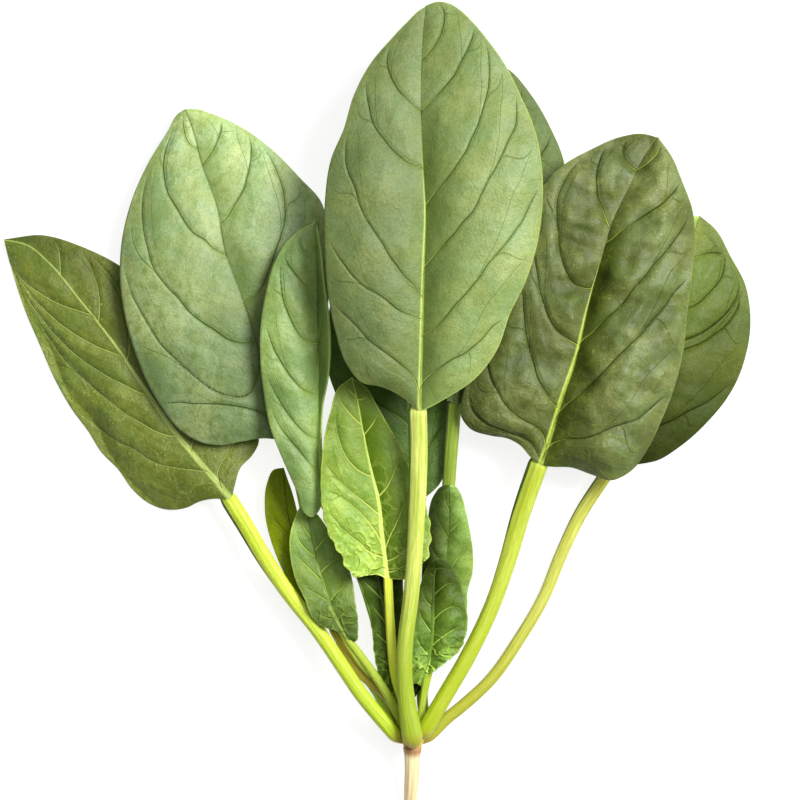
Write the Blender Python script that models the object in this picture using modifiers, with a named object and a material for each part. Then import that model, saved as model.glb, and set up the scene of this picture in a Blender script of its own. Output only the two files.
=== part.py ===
"""A bunch of spinach: one whole plant, pulled with a stub of its taproot and laid flat on a surface.

Fourteen leaves rise from a short crown. Each leaf is a thin waved blade over a stalk, which runs on
under the blade as its midrib. +Z is up, +Y points from the root to the leaf tips, and the origin is
on the surface, under the middle of the bunch's box. Run it with
blender --background --python part.py, or from Blender's text editor.
"""

import math
from dataclasses import dataclass

import bmesh
import bpy
import numpy as np
from mathutils import Matrix, Vector

# Sizes are in millimetres in this file, and this makes them Blender's metres.
MM = 0.001

BLADE_THICKNESS = 0.8
GAP = 0.35  # air between touching pieces, so that each stays a solid of its own
PRESS = 0.1  # depth to which the surface flattens a blade that lies on it
LOWEST_SHEET = BLADE_THICKNESS / 2 - PRESS
SURFACE_SIZE = (320.0, 320.0, 10.0)
STALK_SIDES_RESOLUTION = 2  # gives a curve's tube eight sides
RIB_END = 0.88  # share of the blade's length that the midrib runs under
RIB_THIN = 0.16  # midrib's thickness at the tip, as a share of the stalk's

CROWN_X = 0.5
CROWN_Z = 9.8
CROWN_NARROWING = 0.82  # its width across, as a share of its depth
CROWN_PROFILE = (  # (distance along +Y, radius) from the root's collar to the heart
    (-4.6, 0.0),
    (-4.6, 2.7),
    (-3.6, 4.1),
    (-1.6, 5.3),
    (0.6, 5.7),
    (2.4, 5.0),
    (3.2, 3.6),
    (3.4, 0.0),
)
CROWN_SEGMENTS = 20
STALK_END = ((0.0, 0.55), (1.2, 0.85), (3.0, 1.0))  # (distance from its end, share of its radius)

ROOT_ROUTE = (  # x, y, z, radius: from the crown's collar down to the trimmed end
    (0.5, -4.95, 9.7, 2.6),
    (0.4, -9.0, 8.6, 2.5),
    (0.1, -15.0, 6.5, 2.25),
    (-0.2, -21.0, 4.1, 2.0),
    (-0.1, -26.5, 1.4, 1.85),
)
ROOT_STEPS = 9


@dataclass
class Leaf:
    """One leaf. Points are x, y or x, y, z in millimetres from the crown, with z over the surface.

    stalk runs from the crown to just before the blade, rib is the blade's middle line from its base
    to its tip, and left and right are its margins between those two ends. A half blade's shoulder
    and edge are how far it stands over the rib, as shares of its width, half way out and at the
    margin. ripple is the margin's waves: their height, their number and where they start. rests is
    for a leaf that lies on the surface somewhere.
    """

    name: str
    stalk: tuple
    thickness: tuple  # the stalk's radius at the crown and at the blade
    rib: tuple
    left: tuple
    right: tuple
    left_lift: tuple  # shoulder, edge
    right_lift: tuple
    ripple: tuple = (0.8, 3.0, 0.0)
    rests: bool = False
    rows: int = 18
    columns: int = 8


LEAVES = (
    Leaf(
        name="front",
        stalk=((0.7, -3.9, 13.9), (0.8, -0.6, 15.7), (0.3, 5.0, 16.7), (-0.6, 12.8, 17.4),
               (-1.8, 22.0, 18.8),
               (-1.9, 29.0, 20.0), (-0.6, 45.0, 23.0), (1.4, 61.0, 26.0), (2.3, 77.0, 28.6),
               (2.8, 93.0, 30.4)),
        thickness=(3.6, 2.75),
        rib=((2.6, 105.0, 34.8), (3.2, 128.0, 37.0), (3.8, 150.0, 38.4), (4.4, 168.0, 38.4),
             (3.5, 188.0, 37.2), (3.2, 207.0, 35.0), (4.2, 224.0, 31.8), (8.1, 235.2, 28.6)),
        left=((-2.2, 109.4), (-9.8, 113.2), (-15.6, 114.4), (-20.0, 119.5), (-24.0, 131.0),
              (-26.4, 144.0), (-27.2, 158.0), (-27.2, 172.0), (-25.2, 185.4), (-21.4, 194.4),
              (-18.2, 205.2), (-12.5, 216.6), (-4.8, 224.4), (1.9, 231.0)),
        right=((5.2, 106.2), (11.0, 109.4), (20.4, 115.8), (27.2, 124.8), (31.2, 136.0),
               (36.2, 146.4), (39.6, 157.0), (41.5, 170.0), (41.3, 183.0), (39.2, 194.2),
               (35.0, 204.6), (30.6, 213.8), (25.0, 222.2), (17.1, 231.4)),
        left_lift=(0.12, 0.02),
        right_lift=(0.15, 0.06),
        ripple=(0.9, 3.3, 0.4),
        rows=22,
    ),
    Leaf(
        name="left",
        stalk=((-5.0, -1.0, 7.6), (-6.6, 4.0, 6.2), (-9.3, 12.8, 4.0), (-14.6, 21.0, 2.3),
               (-21.0, 32.0, 1.65), (-27.5, 48.0, 1.8), (-31.5, 60.0, 4.2), (-33.4, 72.0, 6.4),
               (-36.6, 86.0, 8.8)),
        thickness=(1.8, 2.0),
        rib=((-40.6, 96.0, 13.2), (-45.8, 113.6, 14.6), (-50.6, 131.2, 15.2), (-54.9, 144.0, 15.2),
             (-59.5, 156.8, 14.6), (-62.2, 171.2, 12.8), (-66.9, 184.0, 10.4), (-70.4, 196.8, 7.6),
             (-72.6, 202.0, 6.4)),
        left=((-47.7, 96.6), (-54.7, 95.5), (-61.0, 94.4), (-67.5, 95.4), (-73.9, 99.2),
              (-80.3, 107.2), (-85.2, 116.2), (-89.0, 126.4), (-91.8, 137.0), (-93.2, 148.8),
              (-92.6, 160.0), (-90.0, 171.2), (-84.4, 184.4), (-77.8, 195.4), (-74.8, 200.6)),
        right=((-36.5, 101.0), (-30.6, 115.2), (-27.6, 131.2), (-26.0, 147.2), (-26.4, 161.6),
               (-28.9, 172.4), (-35.5, 179.8), (-45.0, 189.4), (-54.7, 196.4), (-64.0, 200.6),
               (-69.6, 202.2)),
        left_lift=(0.05, -0.09),
        right_lift=(0.01, -0.10),
        ripple=(0.9, 2.6, 1.2),
        rests=True,
        rows=20,
    ),
    Leaf(
        name="folded",
        stalk=((-3.2, -0.8, 4.6), (-3.8, 4.0, 3.7), (-4.7, 12.0, 3.1), (-8.0, 24.0, 3.2),
               (-11.6, 38.0, 5.4), (-16.8, 54.0, 9.4), (-22.4, 66.0, 12.8)),
        thickness=(1.5, 1.5),
        rib=((-28.4, 77.0, 17.4), (-29.2, 89.6, 19.0), (-29.6, 108.8, 20.0), (-29.6, 128.0, 20.6),
             (-29.8, 147.2, 20.6), (-30.4, 165.6, 19.6)),
        left=((-30.0, 72.8), (-32.0, 71.4), (-33.9, 72.6), (-35.6, 77.8), (-38.7, 84.8),
              (-41.9, 92.2), (-44.8, 99.8), (-46.8, 110.4), (-48.1, 123.2), (-47.7, 134.4),
              (-46.0, 144.0), (-43.4, 152.8), (-39.4, 159.4), (-35.0, 163.2)),
        right=((-28.2, 84.0), (-28.6, 96.0), (-28.2, 106.0), (-26.4, 116.0), (-25.7, 125.0),
               (-26.2, 136.0), (-27.8, 147.0), (-29.0, 158.0)),
        left_lift=(0.16, 0.10),
        right_lift=(0.9, 1.9),
        ripple=(0.7, 3.5, 2.0),
    ),
    Leaf(
        name="far_left",
        stalk=((-3.6, -0.2, 11.1), (-7.4, 4.2, 12.2), (-11.8, 9.4, 12.6), (-16.4, 15.2, 12.5),
               (-21.4, 22.6, 12.0),
               (-29.6, 34.6, 10.9), (-38.3, 45.8, 10.6), (-46.9, 58.6, 10.0), (-53.2, 69.4, 8.4)),
        thickness=(2.1, 2.3),
        rib=((-57.6, 76.6, 10.2), (-61.4, 81.6, 9.6), (-67.8, 89.0, 8.8), (-75.8, 98.6, 8.0),
             (-85.2, 112.0, 7.4), (-94.9, 126.4, 6.8), (-106.2, 140.8, 5.8), (-116.0, 152.6, 4.6),
             (-123.0, 158.4, 3.6), (-130.8, 160.4, 2.4)),
        left=((-62.7, 77.2), (-67.5, 76.4), (-72.3, 74.2), (-77.8, 73.6), (-83.7, 75.2),
              (-89.6, 80.0), (-94.2, 86.4), (-99.8, 92.2), (-103.8, 98.6), (-109.0, 105.6),
              (-114.5, 115.2), (-119.4, 126.4), (-124.2, 137.6), (-128.2, 149.8)),
        right=((-56.4, 81.6), (-54.7, 87.0), (-50.9, 91.2), (-48.9, 95.2), (-51.5, 102.4),
               (-59.5, 115.2), (-70.7, 129.6), (-82.0, 142.4), (-94.0, 152.2), (-106.2, 158.2),
               (-119.2, 161.8)),
        left_lift=(-0.08, -0.36),
        right_lift=(-0.02, -0.10),
        ripple=(0.8, 4.2, 0.0),
        rests=True,
        rows=20,
    ),
    Leaf(
        name="right",
        stalk=((4.8, -0.6, 12.0), (5.8, 4.2, 13.2), (7.7, 8.6, 13.4), (10.9, 14.2, 13.2),
               (17.6, 25.6, 13.1),
               (26.7, 44.8, 13.3), (31.2, 57.6, 13.9), (35.6, 72.0, 14.6)),
        thickness=(2.4, 2.5),
        rib=((41.2, 88.0, 19.4), (44.0, 96.0, 20.2), (47.8, 108.8, 21.2), (52.6, 123.0, 22.0),
             (56.4, 139.0, 22.4), (60.6, 153.6, 22.0), (64.4, 165.8, 20.8), (70.2, 177.6, 18.6),
             (74.2, 186.0, 16.6), (79.0, 192.8, 14.6)),
        left=((38.2, 90.6), (34.9, 94.4), (31.0, 96.6), (25.3, 97.6), (18.9, 99.8), (16.0, 104.0),
              (16.6, 110.4), (21.4, 120.0), (28.5, 132.8), (34.2, 147.2), (38.2, 163.2),
              (41.4, 176.0), (48.0, 183.2), (57.6, 188.8), (67.2, 192.9), (73.6, 193.9)),
        right=((45.4, 87.6), (51.2, 87.4), (57.6, 85.2), (64.0, 83.3), (69.6, 85.8), (75.2, 92.8),
               (80.1, 103.0), (84.2, 113.6), (86.8, 124.8), (88.2, 137.6), (89.6, 148.8),
               (90.5, 160.0), (89.9, 169.2), (86.6, 178.6), (83.4, 186.4)),
        left_lift=(0.05, -0.07),
        right_lift=(0.16, -0.02),
        ripple=(1.1, 4.0, 2.2),
        rows=22,
    ),
    Leaf(
        name="far_right",
        stalk=((4.6, -0.4, 7.9), (7.7, 2.7, 7.9), (10.9, 6.0, 7.8), (16.3, 10.4, 7.4), (25.4, 18.8, 6.6),
               (34.8, 32.0, 5.4), (42.4, 44.8, 4.4), (48.5, 59.2, 3.2), (54.2, 71.0, 2.4)),
        thickness=(1.7, 1.9),
        rib=((63.9, 86.0, 4.6), (73.5, 108.8, 4.9), (82.5, 137.6, 4.7), (89.0, 156.8, 3.8),
             (93.0, 168.0, 2.6)),
        left=((60.5, 91.0), (56.0, 99.0), (54.2, 112.0), (57.5, 131.0), (67.0, 150.0),
              (78.4, 161.8), (86.6, 167.4)),
        right=((72.0, 88.0), (79.6, 89.6), (86.4, 93.8), (95.4, 101.8), (104.3, 113.6),
               (108.2, 124.8), (109.1, 137.6), (107.6, 145.8), (102.8, 155.0), (98.0, 163.6)),
        left_lift=(0.03, 0.0),
        right_lift=(-0.02, -0.17),
        ripple=(0.7, 3.0, 1.0),
        rests=True,
    ),
    Leaf(
        name="back",
        stalk=((3.6, -0.8, 4.8), (4.6, 3.4, 4.2), (3.7, 12.0, 3.5), (3.8, 22.0, 3.2),
               (6.4, 36.0, 3.8), (9.6, 56.0, 6.2), (12.0, 76.0, 9.6), (13.2, 92.0, 11.4)),
        thickness=(1.5, 1.75),
        rib=((14.4, 107.0, 14.8), (16.3, 121.6, 15.0), (19.5, 140.8, 14.4), (22.7, 163.2, 11.8),
             (25.4, 188.8, 7.4), (25.6, 206.0, 3.8), (24.8, 218.0, 1.6)),
        left=((9.4, 111.0), (5.6, 121.6), (4.2, 140.8), (6.4, 166.4), (12.5, 195.2),
              (18.8, 211.0)),
        right=((20.5, 110.0), (30.0, 118.4), (39.7, 134.4), (46.0, 153.6), (49.6, 172.8),
               (49.0, 185.6), (44.9, 196.0), (38.4, 207.2), (31.2, 215.2)),
        left_lift=(0.03, -0.02),
        right_lift=(0.02, -0.07),
        ripple=(0.7, 3.0, 2.4),
    ),
    Leaf(
        name="back_middle",
        stalk=((0.5, -0.6, 4.0), (0.0, 4.0, 2.6), (-0.7, 12.0, 1.75), (-0.9, 25.0, 1.55),
               (-0.4, 45.0, 1.8), (0.5, 62.0, 2.7)),
        thickness=(1.4, 1.6),
        rib=((1.4, 76.0, 6.6), (0.4, 96.0, 7.6), (-1.9, 115.2, 8.2), (-4.2, 134.4, 8.2),
             (-6.7, 153.6, 7.6), (-8.6, 171.0, 6.4)),
        left=((-8.3, 84.0), (-17.0, 97.0), (-23.4, 109.0), (-27.4, 122.0), (-26.2, 137.6),
              (-20.0, 154.4), (-13.4, 165.6)),
        right=((6.0, 78.6), (9.6, 82.4), (11.2, 88.6), (11.6, 96.0), (11.6, 115.0), (9.6, 134.0),
               (4.6, 153.6), (-2.2, 166.4)),
        left_lift=(0.0, -0.06),
        right_lift=(0.03, 0.06),
        ripple=(0.6, 3.0, 0.8),
        rests=True,
        rows=16,
    ),
    Leaf(
        name="pale",
        stalk=((0.5, 0.6, 10.0), (0.0, 4.4, 10.4), (-2.5, 12.0, 12.0), (-4.9, 20.0, 13.3),
               (-6.1, 30.0, 14.6), (-6.8, 40.0, 15.8)),
        thickness=(1.05, 1.5),
        rib=((-7.4, 51.8, 19.2), (-9.0, 64.0, 20.2), (-10.4, 76.8, 21.0), (-13.1, 88.0, 21.6),
             (-15.4, 99.2, 22.2), (-17.0, 108.2, 22.4), (-18.9, 116.0, 21.6)),
        left=((-12.5, 53.2), (-17.0, 52.3), (-19.8, 54.0), (-22.2, 58.9), (-25.6, 64.6),
              (-27.8, 71.0), (-28.7, 78.4), (-28.6, 88.0), (-27.5, 97.6), (-25.6, 105.6),
              (-23.6, 112.0)),
        right=((-3.0, 51.6), (1.3, 53.6), (4.8, 57.6), (6.2, 64.0), (5.6, 72.0), (3.5, 78.4),
               (0.4, 85.2), (-3.5, 93.8), (-7.4, 101.0), (-11.2, 107.6), (-14.6, 113.0)),
        left_lift=(0.12, 0.13),
        right_lift=(0.06, 0.0),
        ripple=(0.7, 5.0, 0.6),
    ),
    Leaf(
        name="low_left",
        stalk=((-1.5, 0.6, 11.4), (-2.8, 4.6, 11.6), (-6.6, 12.8, 11.8), (-11.6, 20.6, 11.8)),
        thickness=(0.95, 1.35),
        rib=((-20.0, 32.0, 13.6), (-25.4, 42.0, 14.2), (-28.6, 52.0, 13.9), (-31.2, 62.0, 12.9),
             (-33.6, 75.4, 11.6)),
        left=((-24.3, 35.0), (-28.2, 36.2), (-31.8, 39.6), (-34.0, 45.0), (-36.9, 51.2),
              (-38.7, 59.2), (-38.7, 65.6), (-37.2, 71.0), (-35.4, 74.4)),
        right=((-17.8, 31.6), (-17.0, 36.8), (-17.9, 44.8), (-19.2, 52.8), (-21.4, 59.2),
               (-25.4, 65.6), (-29.6, 71.6)),
        left_lift=(0.06, 0.04),
        right_lift=(0.05, 0.0),
        ripple=(0.6, 4.0, 0.0),
        rows=12,
    ),
    Leaf(
        name="low_far_left",
        stalk=((-1.6, 0.6, 8.4), (-2.8, 4.4, 8.3), (-7.6, 12.8, 8.0), (-16.4, 21.0, 7.2)),
        thickness=(1.15, 1.3),
        rib=((-24.8, 34.6, 8.2), (-29.6, 45.0, 8.2), (-35.6, 57.6, 7.8), (-39.4, 72.0, 7.4),
             (-41.0, 87.0, 6.8)),
        left=((-29.8, 38.2), (-35.5, 44.8), (-41.0, 53.8), (-45.0, 64.0), (-46.9, 73.6),
              (-46.2, 82.0), (-44.0, 86.4)),
        right=((-25.6, 42.0), (-30.2, 52.0), (-34.6, 64.0), (-37.0, 75.0), (-39.6, 83.4)),
        left_lift=(-0.02, -0.06),
        right_lift=(-0.02, -0.02),
        ripple=(0.4, 3.0, 0.5),
        rows=12,
    ),
    Leaf(
        name="heart_left",
        stalk=((0.5, 0.6, 7.2), (0.2, 4.6, 7.0), (-3.2, 12.0, 7.2)),
        thickness=(1.15, 1.1),
        rib=((-5.2, 18.0, 9.2), (-6.7, 28.8, 11.0), (-8.6, 41.6, 12.6), (-11.2, 54.4, 14.0),
             (-13.8, 65.6, 15.0)),
        left=((-5.8, 14.6), (-8.4, 17.2), (-10.3, 20.8), (-11.5, 26.0), (-12.3, 33.6), (-13.5, 41.0),
              (-15.7, 47.4), (-17.3, 52.2), (-17.9, 58.0), (-16.6, 63.0)),
        right=((-4.0, 15.4), (-2.7, 20.0), (-2.7, 29.0), (-3.4, 41.6), (-5.6, 53.0), (-9.4, 61.6)),
        left_lift=(0.0, -0.10),
        right_lift=(0.04, -0.06),
        ripple=(0.6, 8.0, 0.0),
        rows=12,
    ),
    Leaf(
        name="low_right",
        stalk=((2.2, 0.6, 10.8), (2.8, 4.6, 10.9), (3.4, 9.6, 11.1), (4.1, 15.0, 11.4)),
        thickness=(0.95, 1.05),
        rib=((4.8, 20.6, 13.2), (5.8, 26.4, 14.2), (6.8, 32.4, 15.2), (7.1, 41.4, 16.4),
             (7.4, 50.4, 17.4), (8.0, 57.6, 17.8)),
        left=((2.8, 17.6), (0.8, 17.8), (-0.3, 22.4), (-0.4, 30.0), (0.4, 39.4), (2.8, 49.0), (5.4, 55.6)),
        right=((9.0, 23.2), (11.6, 25.4), (14.1, 27.2), (16.0, 29.6), (17.4, 33.4), (17.9, 38.4),
               (17.5, 42.9), (16.5, 47.4), (14.6, 52.6), (12.2, 56.4), (9.9, 58.0)),
        left_lift=(0.02, -0.06),
        right_lift=(0.16, 0.08),
        ripple=(0.7, 5.0, 1.0),
        rows=12,
    ),
    Leaf(
        name="heart_right",
        stalk=((2.2, 0.6, 8.4), (3.0, 4.6, 8.1), (3.8, 12.0, 7.6)),
        thickness=(1.15, 1.1),
        rib=((6.0, 22.0, 9.0), (9.0, 41.6, 12.0), (11.4, 57.6, 14.8), (12.4, 70.4, 16.8),
             (12.2, 81.6, 17.8)),
        left=((4.2, 30.0), (3.2, 44.8), (3.8, 57.6), (5.4, 70.4), (7.2, 78.0), (9.8, 81.2)),
        right=((11.0, 24.6), (15.4, 30.0), (17.9, 35.6), (17.9, 42.0), (18.2, 48.2), (19.5, 53.0),
               (19.7, 61.0), (18.6, 68.0), (17.4, 73.4), (16.0, 78.6), (14.2, 81.2)),
        left_lift=(0.04, -0.04),
        right_lift=(0.08, -0.02),
        ripple=(0.5, 4.0, 2.0),
        rows=14,
    ),
)

BLADE_GREENS = {  # base colour of each blade, by the leaf's name
    "front": (0.16, 0.27, 0.09),
    "left": (0.18, 0.30, 0.11),
    "folded": (0.18, 0.30, 0.10),
    "far_left": (0.10, 0.16, 0.04),
    "right": (0.12, 0.18, 0.06),
    "far_right": (0.12, 0.21, 0.03),
    "back": (0.11, 0.19, 0.06),
    "back_middle": (0.06, 0.12, 0.04),
    "pale": (0.25, 0.42, 0.06),
    "low_left": (0.15, 0.26, 0.08),
    "low_far_left": (0.10, 0.14, 0.02),
    "heart_left": (0.03, 0.06, 0.02),
    "low_right": (0.10, 0.18, 0.07),
    "heart_right": (0.08, 0.15, 0.04),
}
STALK_GREEN = (0.50, 0.62, 0.07)
CROWN_YELLOW = (0.62, 0.58, 0.16)
ROOT_PINK = (0.86, 0.64, 0.42)


def clear_scene():
    for obj in list(bpy.data.objects):
        bpy.data.objects.remove(obj)


def collection(name, hidden=False):
    made = bpy.data.collections.new(name)
    made.hide_render = hidden
    bpy.context.scene.collection.children.link(made)
    return made


def material(name, colour, roughness):
    made = bpy.data.materials.new(name)
    made.use_nodes = True
    shader = made.node_tree.nodes["Principled BSDF"]
    shader.inputs["Base Color"].default_value = (*colour, 1.0)
    shader.inputs["Roughness"].default_value = roughness
    shader.inputs["Metallic"].default_value = 0.0
    return made


def along(points, shares):
    """Points at these shares of the length of one smooth curve through all of points."""
    points = np.array(points, float)
    steps = np.linalg.norm(np.diff(points[:, :3], axis=0), axis=1)
    knots = np.concatenate([[0.0], np.cumsum(steps)])
    slopes = np.gradient(points, knots, axis=0)
    places = np.clip(np.asarray(shares, float), 0.0, 1.0) * knots[-1]
    piece = np.clip(np.searchsorted(knots, places, side="right") - 1, 0, len(steps) - 1)
    span = (knots[piece + 1] - knots[piece])[:, None]
    t = (places - knots[piece])[:, None] / span
    start, end = points[piece], points[piece + 1]
    return (
        (2 * t**3 - 3 * t**2 + 1) * start
        + (t**3 - 2 * t**2 + t) * span * slopes[piece]
        + (3 * t**2 - 2 * t**3) * end
        + (t**3 - t**2) * span * slopes[piece + 1]
    )


def margin(leaf, side):
    """One margin's points from the blade's base to its tip."""
    points = leaf.left if side < 0 else leaf.right
    return [leaf.rib[0][:2], *points, leaf.rib[-1][:2]]


def sheet_point(leaf, u, v):
    """The blade's middle surface at u along it, base 0 to tip 1, and v across, margins -1 and 1."""
    side = -1 if v < 0 else 1
    out = abs(v)
    rib = along(leaf.rib, [u])[0]
    edge = along(margin(leaf, side), [u])[0]
    width = np.linalg.norm(edge - rib[:2])
    shoulder, edge_lift = leaf.left_lift if side < 0 else leaf.right_lift
    lift = width * ((4 * shoulder - edge_lift) * out + (2 * edge_lift - 4 * shoulder) * out**2)
    height, waves, start = leaf.ripple
    fade = math.sin(math.pi * u) ** 0.5 if 0 < u < 1 else 0.0
    ripple = height * fade * out**3 * math.sin(2 * math.pi * waves * u + start + side)
    x, y = rib[:2] + out * (edge - rib[:2])
    return Vector((x, y, max(rib[2] + lift + ripple, LOWEST_SHEET)))


def blade(leaf, parts):
    """A grid drawn out to the leaf's outline, in triangles, then given its thickness."""
    form = bmesh.new()
    bmesh.ops.create_grid(form, x_segments=leaf.columns, y_segments=leaf.rows, size=1.0)
    for vertex in form.verts:
        across, lengthwise = vertex.co.x, (vertex.co.y + 1) / 2
        vertex.co = sheet_point(leaf, lengthwise, across) * MM
    bmesh.ops.remove_doubles(form, verts=form.verts, dist=0.05 * MM)
    bmesh.ops.triangulate(form, faces=form.faces, quad_method="SHORT_EDGE")
    mesh = bpy.data.meshes.new(f"{leaf.name}_blade")
    form.to_mesh(mesh)
    form.free()
    mesh.shade_smooth()
    made = bpy.data.objects.new(f"{leaf.name}_blade", mesh)
    parts.objects.link(made)
    solid = made.modifiers.new("thickness", "SOLIDIFY")
    solid.thickness = BLADE_THICKNESS * MM
    solid.offset = 0.0
    made.data.materials.append(material(made.name, BLADE_GREENS[leaf.name], 0.55))
    return made


def stalk_route(leaf):
    """x, y, z and radius along the stalk, and on under the blade as its midrib."""
    at_crown, at_blade = leaf.thickness
    drop = BLADE_THICKNESS / 2 + GAP
    neck = Vector(leaf.rib[0]) - Vector((0, 0, drop + at_blade))
    points = np.array([*leaf.stalk, tuple(neck)])
    length = np.linalg.norm(np.diff(points, axis=0), axis=1).sum()
    end = [(place / length, share) for place, share in STALK_END]
    free = [place for place, _ in end] + list(np.linspace(max(0.16, 5.0 / length), 0.87, 6))
    swell = np.interp(free, [0.0, 0.2, 1.0], [at_crown, at_blade * 1.03, at_blade])
    swell *= np.interp(free, *zip(*end))
    route = [(*point, r) for point, r in zip(along(points, free), swell)]
    for u in np.linspace(0.0, RIB_END, 9):
        radius = at_blade * (RIB_THIN + (1 - RIB_THIN) * (1 - u) ** 3)
        x, y, z = along(leaf.rib, [u])[0]
        route.append((x, y, max(z - drop - radius, radius - PRESS), radius))
    return route


def tube(name, route, parts):
    """A tube with round sides and flat ends along a route of x, y, z and radius."""
    line = bpy.data.curves.new(name, "CURVE")
    line.dimensions = "3D"
    line.bevel_depth = MM
    line.bevel_resolution = STALK_SIDES_RESOLUTION
    line.use_fill_caps = True
    spline = line.splines.new("POLY")
    spline.points.add(len(route) - 1)
    for point, (x, y, z, radius) in zip(spline.points, route):
        point.co = (x * MM, y * MM, z * MM, 1.0)
        point.radius = radius
    made = bpy.data.objects.new(name, line)
    parts.objects.link(made)
    return made


def as_mesh(obj, parts):
    """The curve object made a closed mesh, under the same name."""
    name = obj.name
    graph = bpy.context.evaluated_depsgraph_get()
    mesh = bpy.data.meshes.new_from_object(obj.evaluated_get(graph))
    place = obj.matrix_world.copy()
    bpy.data.objects.remove(obj)
    form = bmesh.new()
    form.from_mesh(mesh)
    bmesh.ops.remove_doubles(form, verts=form.verts, dist=0.01 * MM)
    bmesh.ops.triangulate(form, faces=form.faces)
    bmesh.ops.recalc_face_normals(form, faces=form.faces)
    form.to_mesh(mesh)
    form.free()
    mesh.shade_smooth()
    made = bpy.data.objects.new(name, mesh)
    made.matrix_world = place
    parts.objects.link(made)
    return made


def turned(name, profile, parts, grow=0.0):
    """A solid turned about the crown's axis, which lies along Y. grow makes it fatter all round."""
    middle = (profile[0][0] + profile[-1][0]) / 2
    mesh = bpy.data.meshes.new(name)
    form = bmesh.new()
    corners = []
    for place, radius in profile:
        wide = radius + grow if radius else 0.0
        far = place + math.copysign(grow, place - middle)
        corners.append(form.verts.new((wide * MM, far * MM, 0.0)))
    for first, second in zip(corners, corners[1:]):
        form.edges.new((first, second))
    form.to_mesh(mesh)
    form.free()
    made = bpy.data.objects.new(name, mesh)
    made.location = (CROWN_X * MM, 0.0, CROWN_Z * MM)
    made.scale = (CROWN_NARROWING, 1.0, 1.0)
    parts.objects.link(made)
    screw = made.modifiers.new("turned", "SCREW")
    screw.axis = "Y"
    screw.steps = CROWN_SEGMENTS
    screw.render_steps = CROWN_SEGMENTS
    screw.use_merge_vertices = True
    screw.merge_threshold = 0.00002
    screw.use_normal_flip = True
    return made


def surface_block(cutters):
    """The surface that the bunch lies on, which presses small flats under what touches it."""
    form = bmesh.new()
    bmesh.ops.create_cube(form, size=1.0)
    bmesh.ops.scale(form, verts=form.verts, vec=Vector(SURFACE_SIZE) * MM)
    bmesh.ops.translate(form, verts=form.verts, vec=Vector((0, 80, -SURFACE_SIZE[2] / 2)) * MM)
    mesh = bpy.data.meshes.new("surface")
    form.to_mesh(mesh)
    form.free()
    made = bpy.data.objects.new("surface", mesh)
    cutters.objects.link(made)
    return made


def cut(obj, cutter):
    """Takes the cutter's shape out of a mesh object."""
    taken = obj.modifiers.new(cutter.name, "BOOLEAN")
    taken.operation = "DIFFERENCE"
    taken.solver = "EXACT"
    taken.object = cutter


def centre_on_surface(parts, cutters):
    """Stands the bunch on z = 0 with the origin under the middle of its box."""
    bpy.context.view_layer.update()
    graph = bpy.context.evaluated_depsgraph_get()
    corners = []
    for obj in parts.objects:
        made = obj.evaluated_get(graph)
        corners += [made.matrix_world @ vertex.co for vertex in made.data.vertices]
    low = np.min(corners, axis=0)
    high = np.max(corners, axis=0)
    origin = bpy.data.objects.new("bunch_origin", None)
    bpy.context.scene.collection.objects.link(origin)
    for obj in [*parts.objects, *cutters.objects]:
        obj.parent = origin
    origin.location = (-(low[0] + high[0]) / 2, -(low[1] + high[1]) / 2, -low[2])
    return origin


def main():
    clear_scene()
    parts = collection("spinach_bunch")
    cutters = collection("cutters", hidden=True)

    crown = turned("crown", CROWN_PROFILE, parts)
    crown.data.materials.append(material("crown", CROWN_YELLOW, 0.5))
    seat = turned("crown_seat", CROWN_PROFILE, cutters, grow=GAP)
    surface = surface_block(cutters)
    for cutter in cutters.objects:
        cutter.hide_render = True
        cutter.display_type = "WIRE"

    root_points = along(ROOT_ROUTE, np.linspace(0.0, 1.0, ROOT_STEPS))
    root = as_mesh(tube("taproot", root_points, parts), parts)
    root.data.materials.append(material("taproot", ROOT_PINK, 0.6))
    cut(root, seat)
    cut(root, surface)

    green = material("stalk", STALK_GREEN, 0.4)
    for leaf in LEAVES:
        sheet = blade(leaf, parts)
        stalk = as_mesh(tube(f"{leaf.name}_stalk", stalk_route(leaf), parts), parts)
        stalk.data.materials.append(green)
        cut(stalk, seat)
        if leaf.rests:
            cut(sheet, surface)
            cut(stalk, surface)
    centre_on_surface(parts, cutters)


main()
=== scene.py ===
# %% [markdown]
# # A bunch of spinach, dressed
#
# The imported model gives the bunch's plain solids: a crown, a taproot and fourteen leaves, each a
# blade and a stalk. This script replaces them with finer pieces that follow the same curves, and
# gives the leaves their veins, quilting and colours. Lengths are in millimetres, in the crown's
# frame: +Y runs to the leaf tips, +X to the right and +Z up from the surface.

# %% Load the frame
from dataclasses import dataclass

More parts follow.
